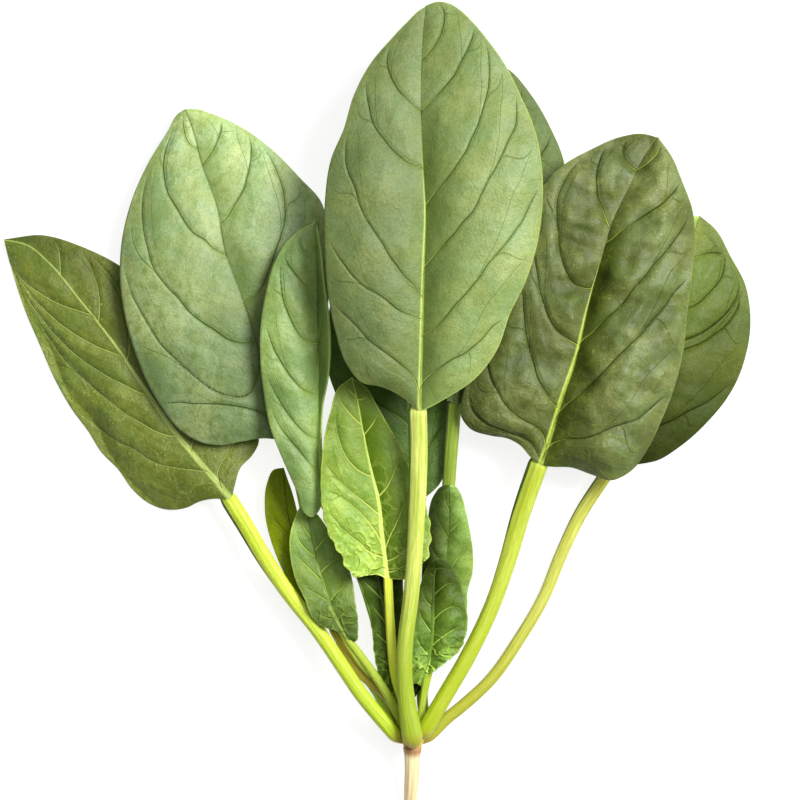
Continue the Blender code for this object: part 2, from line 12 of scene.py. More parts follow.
import bmesh
import bpy
import numpy as np
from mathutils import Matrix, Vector


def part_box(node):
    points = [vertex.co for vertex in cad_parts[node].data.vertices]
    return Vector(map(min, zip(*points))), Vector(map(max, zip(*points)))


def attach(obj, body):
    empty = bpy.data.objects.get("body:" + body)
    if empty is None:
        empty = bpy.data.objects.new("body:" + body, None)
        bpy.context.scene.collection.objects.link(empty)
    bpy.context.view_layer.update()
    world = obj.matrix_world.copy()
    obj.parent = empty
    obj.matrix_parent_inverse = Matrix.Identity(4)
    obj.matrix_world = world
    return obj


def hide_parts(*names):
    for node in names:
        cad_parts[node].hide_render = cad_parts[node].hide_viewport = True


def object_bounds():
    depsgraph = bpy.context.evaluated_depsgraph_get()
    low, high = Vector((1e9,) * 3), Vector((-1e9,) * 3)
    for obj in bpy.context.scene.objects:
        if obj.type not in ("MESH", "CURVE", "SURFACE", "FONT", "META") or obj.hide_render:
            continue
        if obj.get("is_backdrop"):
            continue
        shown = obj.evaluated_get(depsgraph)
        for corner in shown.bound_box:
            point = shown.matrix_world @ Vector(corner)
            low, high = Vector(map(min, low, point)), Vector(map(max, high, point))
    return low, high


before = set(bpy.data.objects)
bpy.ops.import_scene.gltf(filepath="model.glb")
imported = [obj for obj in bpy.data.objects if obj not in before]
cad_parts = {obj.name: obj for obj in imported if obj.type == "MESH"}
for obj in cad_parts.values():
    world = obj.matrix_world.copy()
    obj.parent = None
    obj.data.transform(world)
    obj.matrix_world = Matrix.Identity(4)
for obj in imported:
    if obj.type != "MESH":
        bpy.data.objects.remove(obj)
CAD_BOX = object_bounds()
MM = 0.001

# The crown's solid spans Y -4.6 to 3.4 round X 0.5 in its own frame, which places that frame here.
crown_low, crown_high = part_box("crown")
PLACE = np.array([(crown_low[0] + crown_high[0]) / 2 / MM - 0.5, crown_low[1] / MM + 4.6, 0.0])
print("nodes:", len(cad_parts), "crown's frame is at", PLACE.round(1), "mm")

# %% [markdown]
# ## What each leaf is
#
# A leaf is its stalk's route, its rib from base to tip and its two margins, as in the solids. The
# dressed leaf adds its side veins, given by a few points from the rib outwards, how much the blade
# bulges between them, how far the midrib stands out of the blade, and its greens. One table with
# named fields holds them, since the fourteen leaves differ only in these values.


# %% The leaf table
@dataclass
class Leaf:
    name: str
    stalk: tuple
    thickness: tuple  # stalk's radius at the crown and at the blade
    rib: tuple
    left: tuple
    right: tuple
    left_lift: tuple  # how far shoulder and margin stand over the rib, as shares of the half's width
    right_lift: tuple
    ripple: tuple  # the margin's waves: height, number, start
    greens: tuple  # shaded, lit, vein
    left_veins: tuple = ()
    right_veins: tuple = ()
    bulge: float = 0.6
    proud: float = 0.35  # share of the midrib's radius that stands over the blade
    rib_radius: tuple = (1.0, 0.4)  # midrib's radius at the base and at the tip
    rib_line: tuple = (0.8, 0.3)  # the midrib's drawn half-width at the base and near the tip
    rib_sinks: float = 0.6  # share of the blade where the pale midrib turns into a groove, painted with shade from there on
    vein_width: float = 0.42
    crease: float = 0.8  # how deep the side veins are drawn
    pucker: float = 0.8  # how strong the small relief between them is
    pale: float = 0.5  # how pale they are beside the midrib
    pale_reach: float = 9.0  # how far from the midrib they stay pale
    dullness: float = 0.52  # roughness of the skin
    gloss: float = 0.4  # how strongly it reflects the lights
    rim: float = 0.12  # how pale its margin is
    valley_shade: float = 0.3  # painted shade: how dark the tissue is painted in the valley right of the midrib
    valley_reach: float = 12.0
    valley_end: float = 0.9  # share of the blade where the valley opens out
    flatter: float = 0.0  # how much flatter the blade is at its tip
    mottling: float = 0.6  # how strongly its greens vary
    painted_light_and_shade: tuple = (1.0, 1.0, 1.0, 1.0)  # painted light and shade: lightness at the base, left and right, and at the tip
    crinkle: float = 0.0  # how strongly it is crinkled round the base, and how bright the painted highlights on its ridges are
    pockets: float = 0.4  # depth in millimetres of its uneven puckers, which also sets the painted shade in their lows
    painted_glints: float = 0.0  # tiny pale specks, painted glints
    net_pale: float = 0.0  # how pale its smallest veins are, where others are dark
    frill: float = 0.0  # height of the short waves of the margin round the base
    wing: float = 0.0  # how far a green wing stands off the stalk's left side
    rows: int = 150
    columns: int = 90


LEAVES = (
    Leaf(
        name="front",
        stalk=((0.6, -2.7, 14.4), (0.7, -0.6, 15.7), (-0.2, 5, 16.7), (-1.4, 12.8, 17.4),
               (-2, 20, 18.6), (-1.8, 31, 20.4), (-0.1, 45, 23), (1.3, 61, 26), (2.3, 77, 28.6),
               (2.8, 93, 30.4)),
        thickness=(3.4, 2.45),
        rib=((2.6, 105, 34.8), (3.2, 128, 37), (3.8, 150, 38.4), (4.4, 168, 38.4), (3.5, 188, 37.2),
             (3.2, 207, 35), (3.7, 222, 32), (4.8, 234.2, 29)),
        left=((-2.2, 109.4), (-9.8, 113.2), (-15.6, 114.4), (-20, 119.5), (-24, 131), (-26.4, 144),
              (-27.2, 158), (-27.2, 172), (-25.2, 185.4), (-21.4, 194.4), (-18.2, 205.2), (-13.2, 215),
              (-6.2, 223.6), (-1.2, 229), (2.4, 232.6)),
        right=((5.2, 106.2), (11, 109.4), (20.4, 115.8), (27.2, 124.8), (31.2, 136), (36.2, 146.4),
               (39.6, 157), (41.5, 170), (41.3, 183), (39.2, 194.2), (35, 204.6), (30.6, 213.8),
               (25, 222.2), (19.8, 228.6), (16.2, 232.2), (12.6, 234.6), (8.6, 235.4)),
        left_lift=(0.12, 0.02), right_lift=(0.15, 0.06), ripple=(0.8, 3.3, 0.4),
        greens=((0.17, 0.24, 0.055), (0.262, 0.34, 0.112), (0.5, 0.62, 0.13)),
        left_veins=(
            ((2, 114), (-4, 120), (-13, 128), (-20, 136), (-25, 138)),
            ((3, 134), (-4, 139), (-13, 143), (-21, 151), (-26, 160)),
            ((3, 141), (-5, 152), (-12, 162), (-16, 171), (-20, 182), (-20, 195)),
            ((4, 182), (-4, 186), (-10, 194), (-13, 202), (-14, 211)),
            ((3, 200), (-3, 205), (-7, 213), (-7, 221)),
        ),
        right_veins=(
            ((4, 114), (9, 119), (19, 125), (28, 133)),
            ((5, 129), (12, 138), (19, 144), (26, 153), (32, 161)),
            ((7, 153), (14, 162), (18, 168), (24, 176), (29, 186), (32, 197)),
            ((8, 175), (16, 184), (20, 194), (24, 205), (25, 211)),
            ((6, 203), (12, 210), (17, 218)),
            ((4, 218), (8, 222), (10, 227), (10, 234)),
        ),
        bulge=0.5, proud=-0.2, rib_radius=(1.0, 0.35), rib_line=(1.1, 0.3), rib_sinks=0.62,
        vein_width=0.36, crease=1.1, gloss=0.45, rim=0.4, valley_shade=0.72, valley_reach=15.0,
        valley_end=0.72, flatter=0.6, mottling=1.1, painted_light_and_shade=(0.6, 1.22, 0.68, 0.88), pockets=0.5,
        wing=1.5, rows=190, columns=110,
    ),
    Leaf(
        name="left",
        stalk=((-5, -1, 7.6), (-6.6, 4, 6.2), (-9.3, 12.8, 4), (-14.6, 21, 2.3), (-21, 32, 1.65),
               (-27.5, 48, 1.8), (-31.5, 60, 4.2), (-33.4, 72, 6.4), (-36.6, 86, 8.8)),
        thickness=(1.8, 2.0),
        rib=((-40.6, 96, 13.2), (-45.8, 113.6, 14.6), (-50.6, 131.2, 15.2), (-54.9, 144, 15.2),
             (-59.5, 156.8, 14.6), (-62.2, 171.2, 12.8), (-66.9, 184, 10.4), (-70.4, 196.8, 7.6),
             (-72.6, 202, 6.4)),
        left=((-47.7, 96.6), (-54.7, 95.5), (-61, 94.4), (-67.5, 95.4), (-73.9, 99.2), (-80.3, 107.2),
              (-85.2, 116.2), (-89, 126.4), (-91.8, 137), (-93.2, 148.8), (-92.6, 160), (-90, 171.2),
              (-84.4, 184.4), (-77.8, 195.4), (-74.8, 200.6)),
        right=((-36.5, 101), (-30.6, 115.2), (-27.6, 131.2), (-26, 147.2), (-26.4, 161.6),
               (-28.9, 172.4), (-35.5, 179.8), (-45, 189.4), (-54.7, 196.4), (-64, 200.6),
               (-69.6, 202.2)),
        left_lift=(0.05, -0.09), right_lift=(0.01, -0.1), ripple=(0.9, 2.6, 1.2),
        greens=((0.185, 0.27, 0.07), (0.33, 0.425, 0.175), (0.42, 0.56, 0.13)),
        left_veins=(
            ((-48, 104), (-60, 109), (-68, 106), (-74, 106), (-79, 111)),
            ((-51, 111), (-60, 111), (-68, 115), (-74, 120), (-80, 126), (-84, 133), (-88, 141)),
            ((-55, 127), (-64, 131), (-72, 138), (-79, 146), (-84, 155), (-85, 165)),
            ((-60, 155), (-66, 160), (-72, 165), (-76, 171), (-78, 176)),
            ((-68, 189), (-72, 192), (-73, 196)),
        ),
        right_veins=(
            ((-44, 107), (-36, 115), (-29, 128)),
            ((-48, 121), (-40, 131), (-34, 144), (-31, 160)),
            ((-52, 139), (-47, 149), (-41, 159), (-41, 173)),
            ((-61, 166), (-56, 172), (-54, 176), (-52, 181)),
            ((-67, 184), (-63, 190), (-61, 195)),
        ),
        bulge=0.5, proud=-0.3, rib_radius=(1.1, 0.35), rib_line=(0.8, 0.5), rib_sinks=0.12, crease=1.1,
        gloss=0.5, valley_shade=0.4, mottling=1.9, painted_light_and_shade=(0.76, 0.28, 1.1, 1.6), pockets=0.5, rows=170,
        columns=110,
    ),
    Leaf(
        name="folded",
        stalk=((-3.2, -0.8, 4.6), (-3.8, 4, 3.7), (-4.7, 12, 3.1), (-8, 24, 3.2), (-11.6, 38, 5.4),
               (-16.8, 54, 9.4), (-22.4, 66, 12.8)),
        thickness=(1.5, 1.5),
        rib=((-28.4, 77, 17.4), (-29.2, 89.6, 19), (-29.6, 108.8, 20), (-29.6, 128, 20.6),
             (-29.8, 147.2, 20.6), (-30.4, 165.6, 19.6)),
        left=((-30, 72.8), (-32, 71.4), (-33.9, 72.6), (-35.6, 77.8), (-38.7, 84.8), (-41.9, 92.2),
              (-44.8, 99.8), (-46.8, 110.4), (-48.1, 123.2), (-47.7, 134.4), (-46, 144), (-43.4, 152.8),
              (-39.4, 159.4), (-35, 163.2)),
        right=((-28.2, 84), (-28.6, 96), (-28.2, 106), (-26.4, 116), (-25.7, 125), (-26.2, 136),
               (-27.8, 147), (-29, 158)),
        left_lift=(0.16, 0.1), right_lift=(0.9, 1.9), ripple=(0.7, 3.5, 2.0),
        greens=((0.14, 0.225, 0.045), (0.22, 0.32, 0.09), (0.38, 0.54, 0.11)),
        left_veins=(
            ((-28, 85), (-32, 88), (-36, 93)),
            ((-29, 96), (-35, 99), (-39, 104), (-44, 112)),
            ((-29, 109), (-36, 114), (-40, 118), (-44, 126)),
            ((-29, 126), (-36, 130), (-39, 135), (-41, 143)),
            ((-30, 141), (-35, 146), (-39, 151)),
            ((-30, 153), (-35, 157), (-36, 160)),
        ),
        proud=-0.4, gloss=0.45, rim=0.4, mottling=1.0, painted_light_and_shade=(1.2, 1.3, 1.32, 1.4), pockets=0.8,
        columns=60,
    ),
    Leaf(
        name="far_left",
        stalk=((-2.2, -1.2, 10.8), (-3.9, 0.3, 11.2), (-7.4, 4.2, 12.2), (-11.8, 9.4, 12.6),
               (-16.4, 15.2, 12.5), (-21.4, 22.6, 12), (-29.6, 34.6, 10.9), (-38.3, 45.8, 10.6),
               (-46.9, 58.6, 10), (-53.2, 69.4, 8.4)),
        thickness=(2.1, 2.3),
        rib=((-57.6, 76.6, 10.2), (-61.4, 81.6, 9.6), (-67.8, 89, 8.8), (-75.8, 98.6, 8),
             (-85.2, 112, 7.4), (-94.9, 126.4, 6.8), (-106.2, 140.8, 5.8), (-116, 152.6, 4.6),
             (-123, 158.4, 3.6), (-130.8, 160.4, 2.4)),
        left=((-62.7, 77.2), (-67.5, 76.4), (-72.3, 74.2), (-77.8, 73.6), (-83.7, 75.2), (-89.6, 80),
              (-94.2, 86.4), (-99.8, 92.2), (-103.8, 98.6), (-109, 105.6), (-114.5, 115.2),
              (-119.4, 126.4), (-124.2, 137.6), (-128.2, 149.8)),
        right=((-56.4, 81.6), (-54.7, 87), (-50.9, 91.2), (-48.9, 95.2), (-51.5, 102.4), (-59.5, 115.2),
               (-70.7, 129.6), (-82, 142.4), (-94, 152.2), (-106.2, 158.2), (-119.2, 161.8)),
        left_lift=(-0.08, -0.36), right_lift=(-0.02, -0.1), ripple=(0.8, 4.2, 0.0),
        greens=((0.12, 0.155, 0.014), (0.185, 0.23, 0.036), (0.4, 0.5, 0.12)),
        left_veins=(
            ((-68, 86), (-80, 89), (-93, 94), (-100, 101)),
            ((-74, 96), (-84, 101), (-96, 107), (-106, 117), (-116, 128)),
            ((-87, 111), (-100, 118), (-108, 124), (-116, 132)),
            ((-94, 123), (-103, 127), (-112, 133), (-119, 139)),
            ((-101, 135), (-108, 138), (-116, 141), (-124, 147)),
        ),
        right_veins=(
            ((-62, 84), (-60, 90), (-56, 95)),
            ((-71, 93), (-67, 102), (-62, 112)),
            ((-81, 106), (-79, 114), (-78, 123)),
            ((-91, 121), (-90, 130), (-92, 139)),
            ((-100, 135), (-100, 141), (-102, 150)),
            ((-112, 150), (-112, 154), (-113, 158)),
        ),
        bulge=0.7, proud=0.15, rib_radius=(1.2, 0.35), rib_line=(1.4, 0.3), rib_sinks=1.2,
        vein_width=0.36, crease=0.9, pucker=1.3, pale=0.7, pale_reach=40.0, gloss=0.35, mottling=1.9,
        painted_light_and_shade=(1.02, 1.06, 1.4, 0.68), pockets=0.6, painted_glints=0.6, net_pale=0.7, wing=1.2, rows=170,
        columns=100,
    ),
    Leaf(
        name="right",
        stalk=((2.4, -0.4, 11.4), (4.9, 3.9, 13), (7.5, 8.4, 13.4), (10.9, 14.2, 13.2),
               (17.6, 25.6, 13.1), (26.7, 44.8, 13.3), (31.2, 57.6, 13.9), (35.6, 72, 14.6)),
        thickness=(2.4, 2.5),
        rib=((41.2, 88, 19.4), (44, 96, 20.2), (47.8, 108.8, 21.2), (52.6, 123, 22), (56.4, 139, 22.4),
             (60.6, 153.6, 22), (64.4, 165.8, 20.8), (70.2, 177.6, 18.6), (74.2, 186, 16.6),
             (79, 192.8, 14.6)),
        left=((38.2, 90.6), (34.9, 94.4), (31, 96.6), (25.3, 97.6), (18.9, 99.8), (16, 104),
              (16.6, 110.4), (21.4, 120), (28.5, 132.8), (34.2, 147.2), (38.2, 163.2), (41.4, 176),
              (48, 183.2), (57.6, 188.8), (67.2, 192.9), (73.6, 193.9)),
        right=((45.4, 87.6), (51.2, 87.4), (57.6, 85.2), (64, 83.3), (69.6, 85.8), (75.2, 92.8),
               (80.1, 103), (84.2, 113.6), (86.8, 124.8), (88.2, 137.6), (89.6, 148.8), (90.5, 160),
               (89.9, 169.2), (86.6, 178.6), (83.4, 186.4)),
        left_lift=(0.05, -0.07), right_lift=(0.16, -0.02), ripple=(1.1, 4.0, 2.2),
        greens=((0.1, 0.13, 0.022), (0.19, 0.225, 0.07), (0.48, 0.6, 0.09)),
        left_veins=(
            ((42, 90), (35, 96), (27, 101), (20, 106)),
            ((43, 94), (36, 104), (28, 110), (24, 118)),
            ((46, 107), (41, 115), (38, 125), (36, 134), (36, 144)),
            ((53, 125), (48, 130), (43, 138), (40, 147), (40, 157)),
            ((57, 143), (52, 148), (48, 154), (46, 162), (47, 170), (49, 176)),
            ((64, 166), (60, 170), (60, 176), (60, 186)),
            ((71, 182), (68, 186), (68, 189)),
        ),
        right_veins=(
            ((42, 92), (50, 96), (57, 98.5), (66, 100), (72, 103)),
            ((44, 101), (52, 110), (59.5, 116.7), (68, 124), (79.5, 138)),
            ((53, 124), (61, 134), (70, 142.8), (78, 151), (82, 159.3)),
            ((62, 160), (70, 164), (76, 169), (83, 174)),
            ((71, 181), (75, 183), (78, 186)),
        ),
        bulge=1.25, proud=0.1, rib_radius=(1.05, 0.35), rib_line=(1.4, 0.25), rib_sinks=0.48,
        crease=1.6, pucker=0.75, pale=0.45, dullness=0.5, gloss=0.34, valley_shade=1.0, valley_reach=17.0,
        valley_end=0.75, mottling=1.7, painted_light_and_shade=(0.8, 0.92, 0.86, 1.1), crinkle=0.15, pockets=1.9,
        painted_glints=0.3, net_pale=0.35, wing=1.6, rows=180, columns=120,
    ),
    Leaf(
        name="far_right",
        stalk=((3, -1.6, 8.2), (7.7, 2.7, 8), (10.9, 6, 7.8), (16.3, 10.4, 7.4), (25.4, 18.8, 6.6),
               (34.8, 32, 5.4), (42.4, 44.8, 4.4), (48.5, 59.2, 3.2), (54.2, 71, 2.4)),
        thickness=(1.7, 1.9),
        rib=((63.9, 86, 4.6), (73.5, 108.8, 4.9), (82.5, 137.6, 4.7), (89, 156.8, 3.8), (93, 168, 2.6)),
        left=((60.5, 91), (56, 99), (54.2, 112), (57.5, 131), (67, 150), (78.4, 161.8), (86.6, 167.4)),
        right=((72, 88), (79.6, 89.6), (86.4, 93.8), (95.4, 101.8), (104.3, 113.6), (108.2, 124.8),
               (109.1, 137.6), (107.6, 145.8), (102.8, 155), (98, 163.6)),
        left_lift=(0.03, 0.0), right_lift=(-0.02, -0.17), ripple=(0.7, 3.0, 1.0),
        greens=((0.105, 0.145, 0.016), (0.175, 0.23, 0.045), (0.3, 0.45, 0.08)),
        right_veins=(
            ((73, 98), (81, 101), (89, 104), (95, 109)),
            ((80, 109), (89, 110), (96, 117), (101, 125)),
            ((84, 125), (92, 128), (100, 133), (104, 139)),
            ((87, 138), (94, 141), (98, 146), (101, 150)),
            ((89, 153), (94, 155), (97, 157), (100, 155)),
        ),
        bulge=0.9, crease=1.1, gloss=0.2, mottling=1.0, painted_light_and_shade=(0.08, 0.2, 2.6, 0.92), pockets=0.8,
        net_pale=0.3, wing=0.8,
    ),
    Leaf(
        name="back",
        stalk=((3.6, -0.8, 4.8), (4.6, 3.4, 4.2), (3.7, 12, 3.5), (3.8, 22, 3.2), (6.4, 36, 3.8),
               (9.6, 56, 6.2), (12, 76, 9.6), (13.2, 92, 11.4)),
        thickness=(1.5, 1.75),
        rib=((14.4, 107, 14.8), (16.3, 121.6, 15), (19.5, 140.8, 14.4), (22.7, 163.2, 11.8),
             (25.4, 188.8, 7.4), (25.6, 206, 3.8), (24.8, 218, 1.6)),
        left=((9.4, 111), (5.6, 121.6), (4.2, 140.8), (6.4, 166.4), (12.5, 195.2), (18.8, 211)),
        right=((20.5, 110), (30, 118.4), (39.7, 134.4), (46, 153.6), (49.6, 172.8), (49, 185.6),
               (44.9, 196), (38.4, 207.2), (31.2, 215.2)),
        left_lift=(0.03, -0.02), right_lift=(0.02, -0.07), ripple=(0.7, 3.0, 2.4),
        greens=((0.14, 0.21, 0.05), (0.23, 0.315, 0.1), (0.38, 0.52, 0.14)),
        bulge=0.5, gloss=0.25, painted_light_and_shade=(0.62, 0.62, 0.63, 0.63), wing=1.4,
    ),
    # Its very dark greens are painted shade: it lies in the front leaf's shadow.
    Leaf(
        name="back_middle",
        stalk=((0.5, -0.6, 4), (0, 4, 2.6), (-0.7, 12, 1.75), (-0.9, 25, 1.55), (-0.4, 45, 1.8),
               (0.5, 62, 2.7)),
        thickness=(1.4, 1.6),
        rib=((1.4, 76, 6.6), (0.4, 96, 7.6), (-1.9, 115.2, 8.2), (-4.2, 134.4, 8.2), (-6.7, 153.6, 7.6),
             (-8.6, 171, 6.4)),
        left=((-8.3, 84), (-17, 97), (-23.4, 109), (-27.4, 122), (-26.2, 137.6), (-20, 154.4),
              (-13.4, 165.6)),
        right=((6, 78.6), (9.6, 82.4), (11.2, 88.6), (11.6, 96), (11.6, 115), (9.6, 134), (4.6, 153.6),
               (-2.2, 166.4)),
        left_lift=(0.0, -0.06), right_lift=(0.03, 0.06), ripple=(0.6, 3.0, 0.8),
        greens=((0.028, 0.055, 0.009), (0.06, 0.105, 0.018), (0.2, 0.3, 0.06)),
        bulge=0.8, gloss=0.15, painted_light_and_shade=(1.75, 1.75, 1.75, 1.75), pockets=1.0,
    ),
    Leaf(
        name="pale",
        stalk=((0.5, 0.6, 10), (0, 4.4, 10.4), (-2.5, 12, 12), (-4.9, 20, 13.3), (-6.1, 30, 14.6),
               (-6.8, 40, 15.8)),
        thickness=(1.05, 1.5),
        rib=((-7.4, 51.8, 19.2), (-9, 64, 20.2), (-10.4, 76.8, 21), (-13.1, 88, 21.6),
             (-15.4, 99.2, 22.2), (-17, 108.2, 22.4), (-18.9, 116, 21.6)),
        left=((-12.5, 53.2), (-17, 52.3), (-19.8, 54), (-22.2, 58.9), (-25.6, 64.6), (-27.8, 71),
              (-28.7, 78.4), (-28.6, 88), (-27.5, 97.6), (-25.6, 105.6), (-23.6, 112)),
        right=((-3, 51.6), (1.3, 53.6), (4.8, 57.6), (6.2, 64), (5.6, 72), (3.5, 78.4), (0.4, 85.2),
               (-3.5, 93.8), (-7.4, 101), (-11.2, 107.6), (-14.6, 113)),
        left_lift=(0.12, 0.13), right_lift=(0.06, 0.0), ripple=(0.7, 5.0, 0.6),
        greens=((0.17, 0.285, 0.018), (0.32, 0.47, 0.06), (0.68, 0.8, 0.16)),
        left_veins=(
            ((-8, 58), (-13, 61), (-20, 65), (-24, 72)),
            ((-9, 62), (-15, 72), (-21, 77), (-26, 80)),
            ((-11, 73), (-17, 78), (-23, 83), (-27, 88)),
            ((-12, 84), (-17, 87), (-21, 91), (-23, 97)),
            ((-16, 101), (-19, 104), (-22, 108)),
            ((-18, 110), (-20, 112), (-21, 113)),
        ),
        right_veins=(
            ((-7, 54), (-4, 55), (0, 57), (4, 62)),
            ((-8, 57), (-4, 60), (0, 62), (3, 70)),
            ((-8, 62), (-5, 69), (-3, 74), (-1, 79)),
            ((-11, 78), (-8, 82), (-5, 86), (-4, 91)),
            ((-15, 97), (-12, 101), (-10, 105)),
            ((-17, 109), (-15, 109), (-14, 111)),
        ),
        proud=0.4, rib_radius=(1.35, 0.35), rib_line=(1.3, 0.35), rib_sinks=1.2, pale=0.75,
        pale_reach=20.0, rim=0.5, valley_shade=1.0, mottling=0.9, painted_light_and_shade=(1.5, 0.92, 0.68, 0.72), crinkle=0.7,
        pockets=0.7, net_pale=0.8, frill=1.0, rows=130,
    ),
    Leaf(
        name="low_left",
        stalk=((-1.5, 0.6, 11.4), (-2.8, 4.6, 11.6), (-6.6, 12.8, 11.8), (-11.6, 20.6, 11.8)),
        thickness=(0.95, 1.35),
        rib=((-20, 32, 13.6), (-25.4, 42, 14.2), (-28.6, 52, 13.9), (-31.2, 62, 12.9),
             (-33.6, 75.4, 11.6)),
        left=((-24.3, 35), (-28.2, 36.2), (-31.8, 39.6), (-34, 45), (-36.9, 51.2), (-38.7, 59.2),
              (-38.7, 65.6), (-37.2, 71), (-35.4, 74.4)),
        right=((-17.8, 31.6), (-17, 36.8), (-17.9, 44.8), (-19.2, 52.8), (-21.4, 59.2), (-25.4, 65.6),
               (-29.6, 71.6)),
        left_lift=(0.06, 0.04), right_lift=(0.05, 0.0), ripple=(0.6, 4.0, 0.0),
        greens=((0.115, 0.19, 0.022), (0.2, 0.3, 0.055), (0.45, 0.62, 0.1)),
        left_veins=(
            ((-23, 39), (-27, 39), (-31, 41)),
            ((-26, 44), (-31, 47), (-35, 49)),
            ((-28, 50), (-32, 54), (-36, 58)),
            ((-30, 58), (-33, 60), (-36, 64)),
            ((-31, 64), (-34, 67), (-35, 70)),
        ),
        right_veins=(
            ((-23, 39), (-20, 42), (-18, 44)),
            ((-26, 44), (-23, 48), (-20, 50)),
            ((-29, 53), (-25, 57), (-21, 59)),
            ((-30, 61), (-28, 64), (-25, 66)),
        ),
        proud=0.3, pale=0.6, pale_reach=14.0, gloss=0.28, rim=0.4, mottling=1.0,
        painted_light_and_shade=(0.56, 0.64, 1.7, 1.7), crinkle=0.6, pockets=0.9, net_pale=0.4, frill=0.5, rows=110,
        columns=70,
    ),
    Leaf(
        name="low_far_left",
        stalk=((-1.6, 0.6, 8.4), (-2.8, 4.4, 8.3), (-7.6, 12.8, 8), (-16.4, 21, 7.2)),
        thickness=(1.15, 1.3),
        rib=((-24.8, 34.6, 8.2), (-29.6, 45, 8.2), (-35.6, 57.6, 7.8), (-39.4, 72, 7.4), (-41, 87, 6.8)),
        left=((-29.8, 38.2), (-35.5, 44.8), (-41, 53.8), (-45, 64), (-46.9, 73.6), (-46.2, 82),
              (-44, 86.4)),
        right=((-25.6, 42), (-30.2, 52), (-34.6, 64), (-37, 75), (-39.6, 83.4)),
        left_lift=(-0.02, -0.06), right_lift=(-0.02, -0.02), ripple=(0.4, 3.0, 0.5),
        greens=((0.11, 0.15, 0.002), (0.19, 0.235, 0.004), (0.26, 0.3, 0.02)),
        bulge=0.3, gloss=0.06, painted_light_and_shade=(1.3, 1.3, 1.2, 1.5), rows=110, columns=60,
    ),
    # Its dark greens and the nearly black right half from its tones are painted shade, deep between the
    # stalks.
    Leaf(
        name="heart_left",
        stalk=((0.5, 0.6, 7.2), (0.2, 4.6, 7), (-3.2, 12, 7.2)),
        thickness=(1.15, 1.1),
        rib=((-5.2, 18, 9.2), (-6.7, 28.8, 11), (-8.6, 41.6, 12.6), (-11.2, 54.4, 14), (-13.8, 65.6, 15)),
        left=((-5.8, 14.6), (-8.4, 17.2), (-10.3, 20.8), (-11.5, 26), (-12.3, 33.6), (-13.5, 41),
              (-15.7, 47.4), (-17.3, 52.2), (-17.9, 58), (-16.6, 63)),
        right=((-4, 15.4), (-2.7, 20), (-2.7, 29), (-2.8, 41.6), (-2.9, 53), (-6.4, 61.6)),
        left_lift=(0.0, -0.1), right_lift=(0.04, -0.06), ripple=(0.6, 8.0, 0.0),
        greens=((0.035, 0.065, 0.005), (0.085, 0.145, 0.014), (0.3, 0.45, 0.07)),
        bulge=0.7, vein_width=0.5, pale=0.9, pale_reach=20.0, gloss=0.12, rim=0.5,
        painted_light_and_shade=(1.3, 0.3, 1.1, 0.15), crinkle=1.0, pockets=1.2, frill=1.1, rows=110, columns=60,
    ),
    Leaf(
        name="low_right",
        stalk=((2.2, 0.6, 10.8), (2.8, 4.6, 10.9), (3.4, 9.6, 11.1), (4.1, 15, 11.4)),
        thickness=(0.95, 1.05),
        rib=((4.8, 20.6, 13.2), (5.8, 26.4, 14.2), (6.8, 32.4, 15.2), (7.1, 41.4, 16.4),
             (7.4, 50.4, 17.4), (8, 57.6, 17.8)),
        left=((2.8, 17.6), (0.8, 17.8), (-0.3, 22.4), (-0.4, 30), (0.4, 39.4), (2.8, 49), (5.4, 55.6)),
        right=((9, 23.2), (11.6, 25.4), (14.1, 27.2), (16, 29.6), (17.4, 33.4), (17.9, 38.4),
               (17.5, 42.9), (16.5, 47.4), (14.6, 52.6), (12.2, 56.4), (9.9, 58)),
        left_lift=(0.02, -0.06), right_lift=(0.16, 0.08), ripple=(0.7, 5.0, 1.0),
        greens=((0.07, 0.125, 0.009), (0.14, 0.23, 0.025), (0.36, 0.54, 0.08)),
        left_veins=(
            ((5, 28), (4, 29), (2, 32)),
            ((6, 35), (4, 38), (2, 42)),
            ((6, 43), (4, 46), (3, 51)),
            ((7, 53), (6, 54), (5, 56)),
        ),
        right_veins=(
            ((5, 29), (9, 32), (13, 35)),
            ((6, 37), (10, 41), (14, 43)),
            ((6, 45), (10, 49), (14, 51)),
            ((7, 54), (9, 55), (11, 55)),
        ),
        bulge=1.6, pale=0.8, pale_reach=16.0, gloss=0.28, rim=0.3, valley_shade=0.8, valley_reach=5.0,
        mottling=1.8, painted_light_and_shade=(1.9, 2.1, 0.18, 0.34), crinkle=1.0, pockets=1.3, net_pale=0.5, frill=1.5,
        rows=110, columns=70,
    ),
    Leaf(
        name="heart_right",
        stalk=((2.2, 0.6, 8.4), (3, 4.6, 8.1), (3.8, 12, 7.6)),
        thickness=(1.15, 1.1),
        rib=((6, 22, 9), (9, 41.6, 12), (11.4, 57.6, 14.8), (12.4, 70.4, 16.8), (12.2, 81.6, 17.8)),
        left=((2.6, 15.4), (0.8, 13.2), (0.2, 20), (1.4, 32), (3.2, 44.8), (3.8, 57.6), (5.4, 70.4),
              (7.2, 78), (9.8, 81.2)),
        right=((11, 24.6), (15.4, 30), (17.9, 35.6), (17.9, 42), (18.2, 48.2), (19.5, 53), (19.7, 61),
               (18.6, 68), (17.4, 73.4), (16, 78.6), (14.2, 81.2)),
        left_lift=(0.04, -0.04), right_lift=(0.08, -0.02), ripple=(0.5, 4.0, 2.0),
        greens=((0.08, 0.14, 0.013), (0.175, 0.265, 0.045), (0.32, 0.47, 0.08)),
        right_veins=(
            ((9, 38), (13, 43), (17, 47)),
            ((12, 53), (15, 58), (18, 61)),
            ((12, 66), (16, 70), (18, 72)),
            ((12, 75), (15, 77), (16, 77)),
        ),
        bulge=0.7, gloss=0.25, mottling=1.8, painted_light_and_shade=(0.08, 1.5, 0.25, 1.9), crinkle=0.4, pockets=1.0,
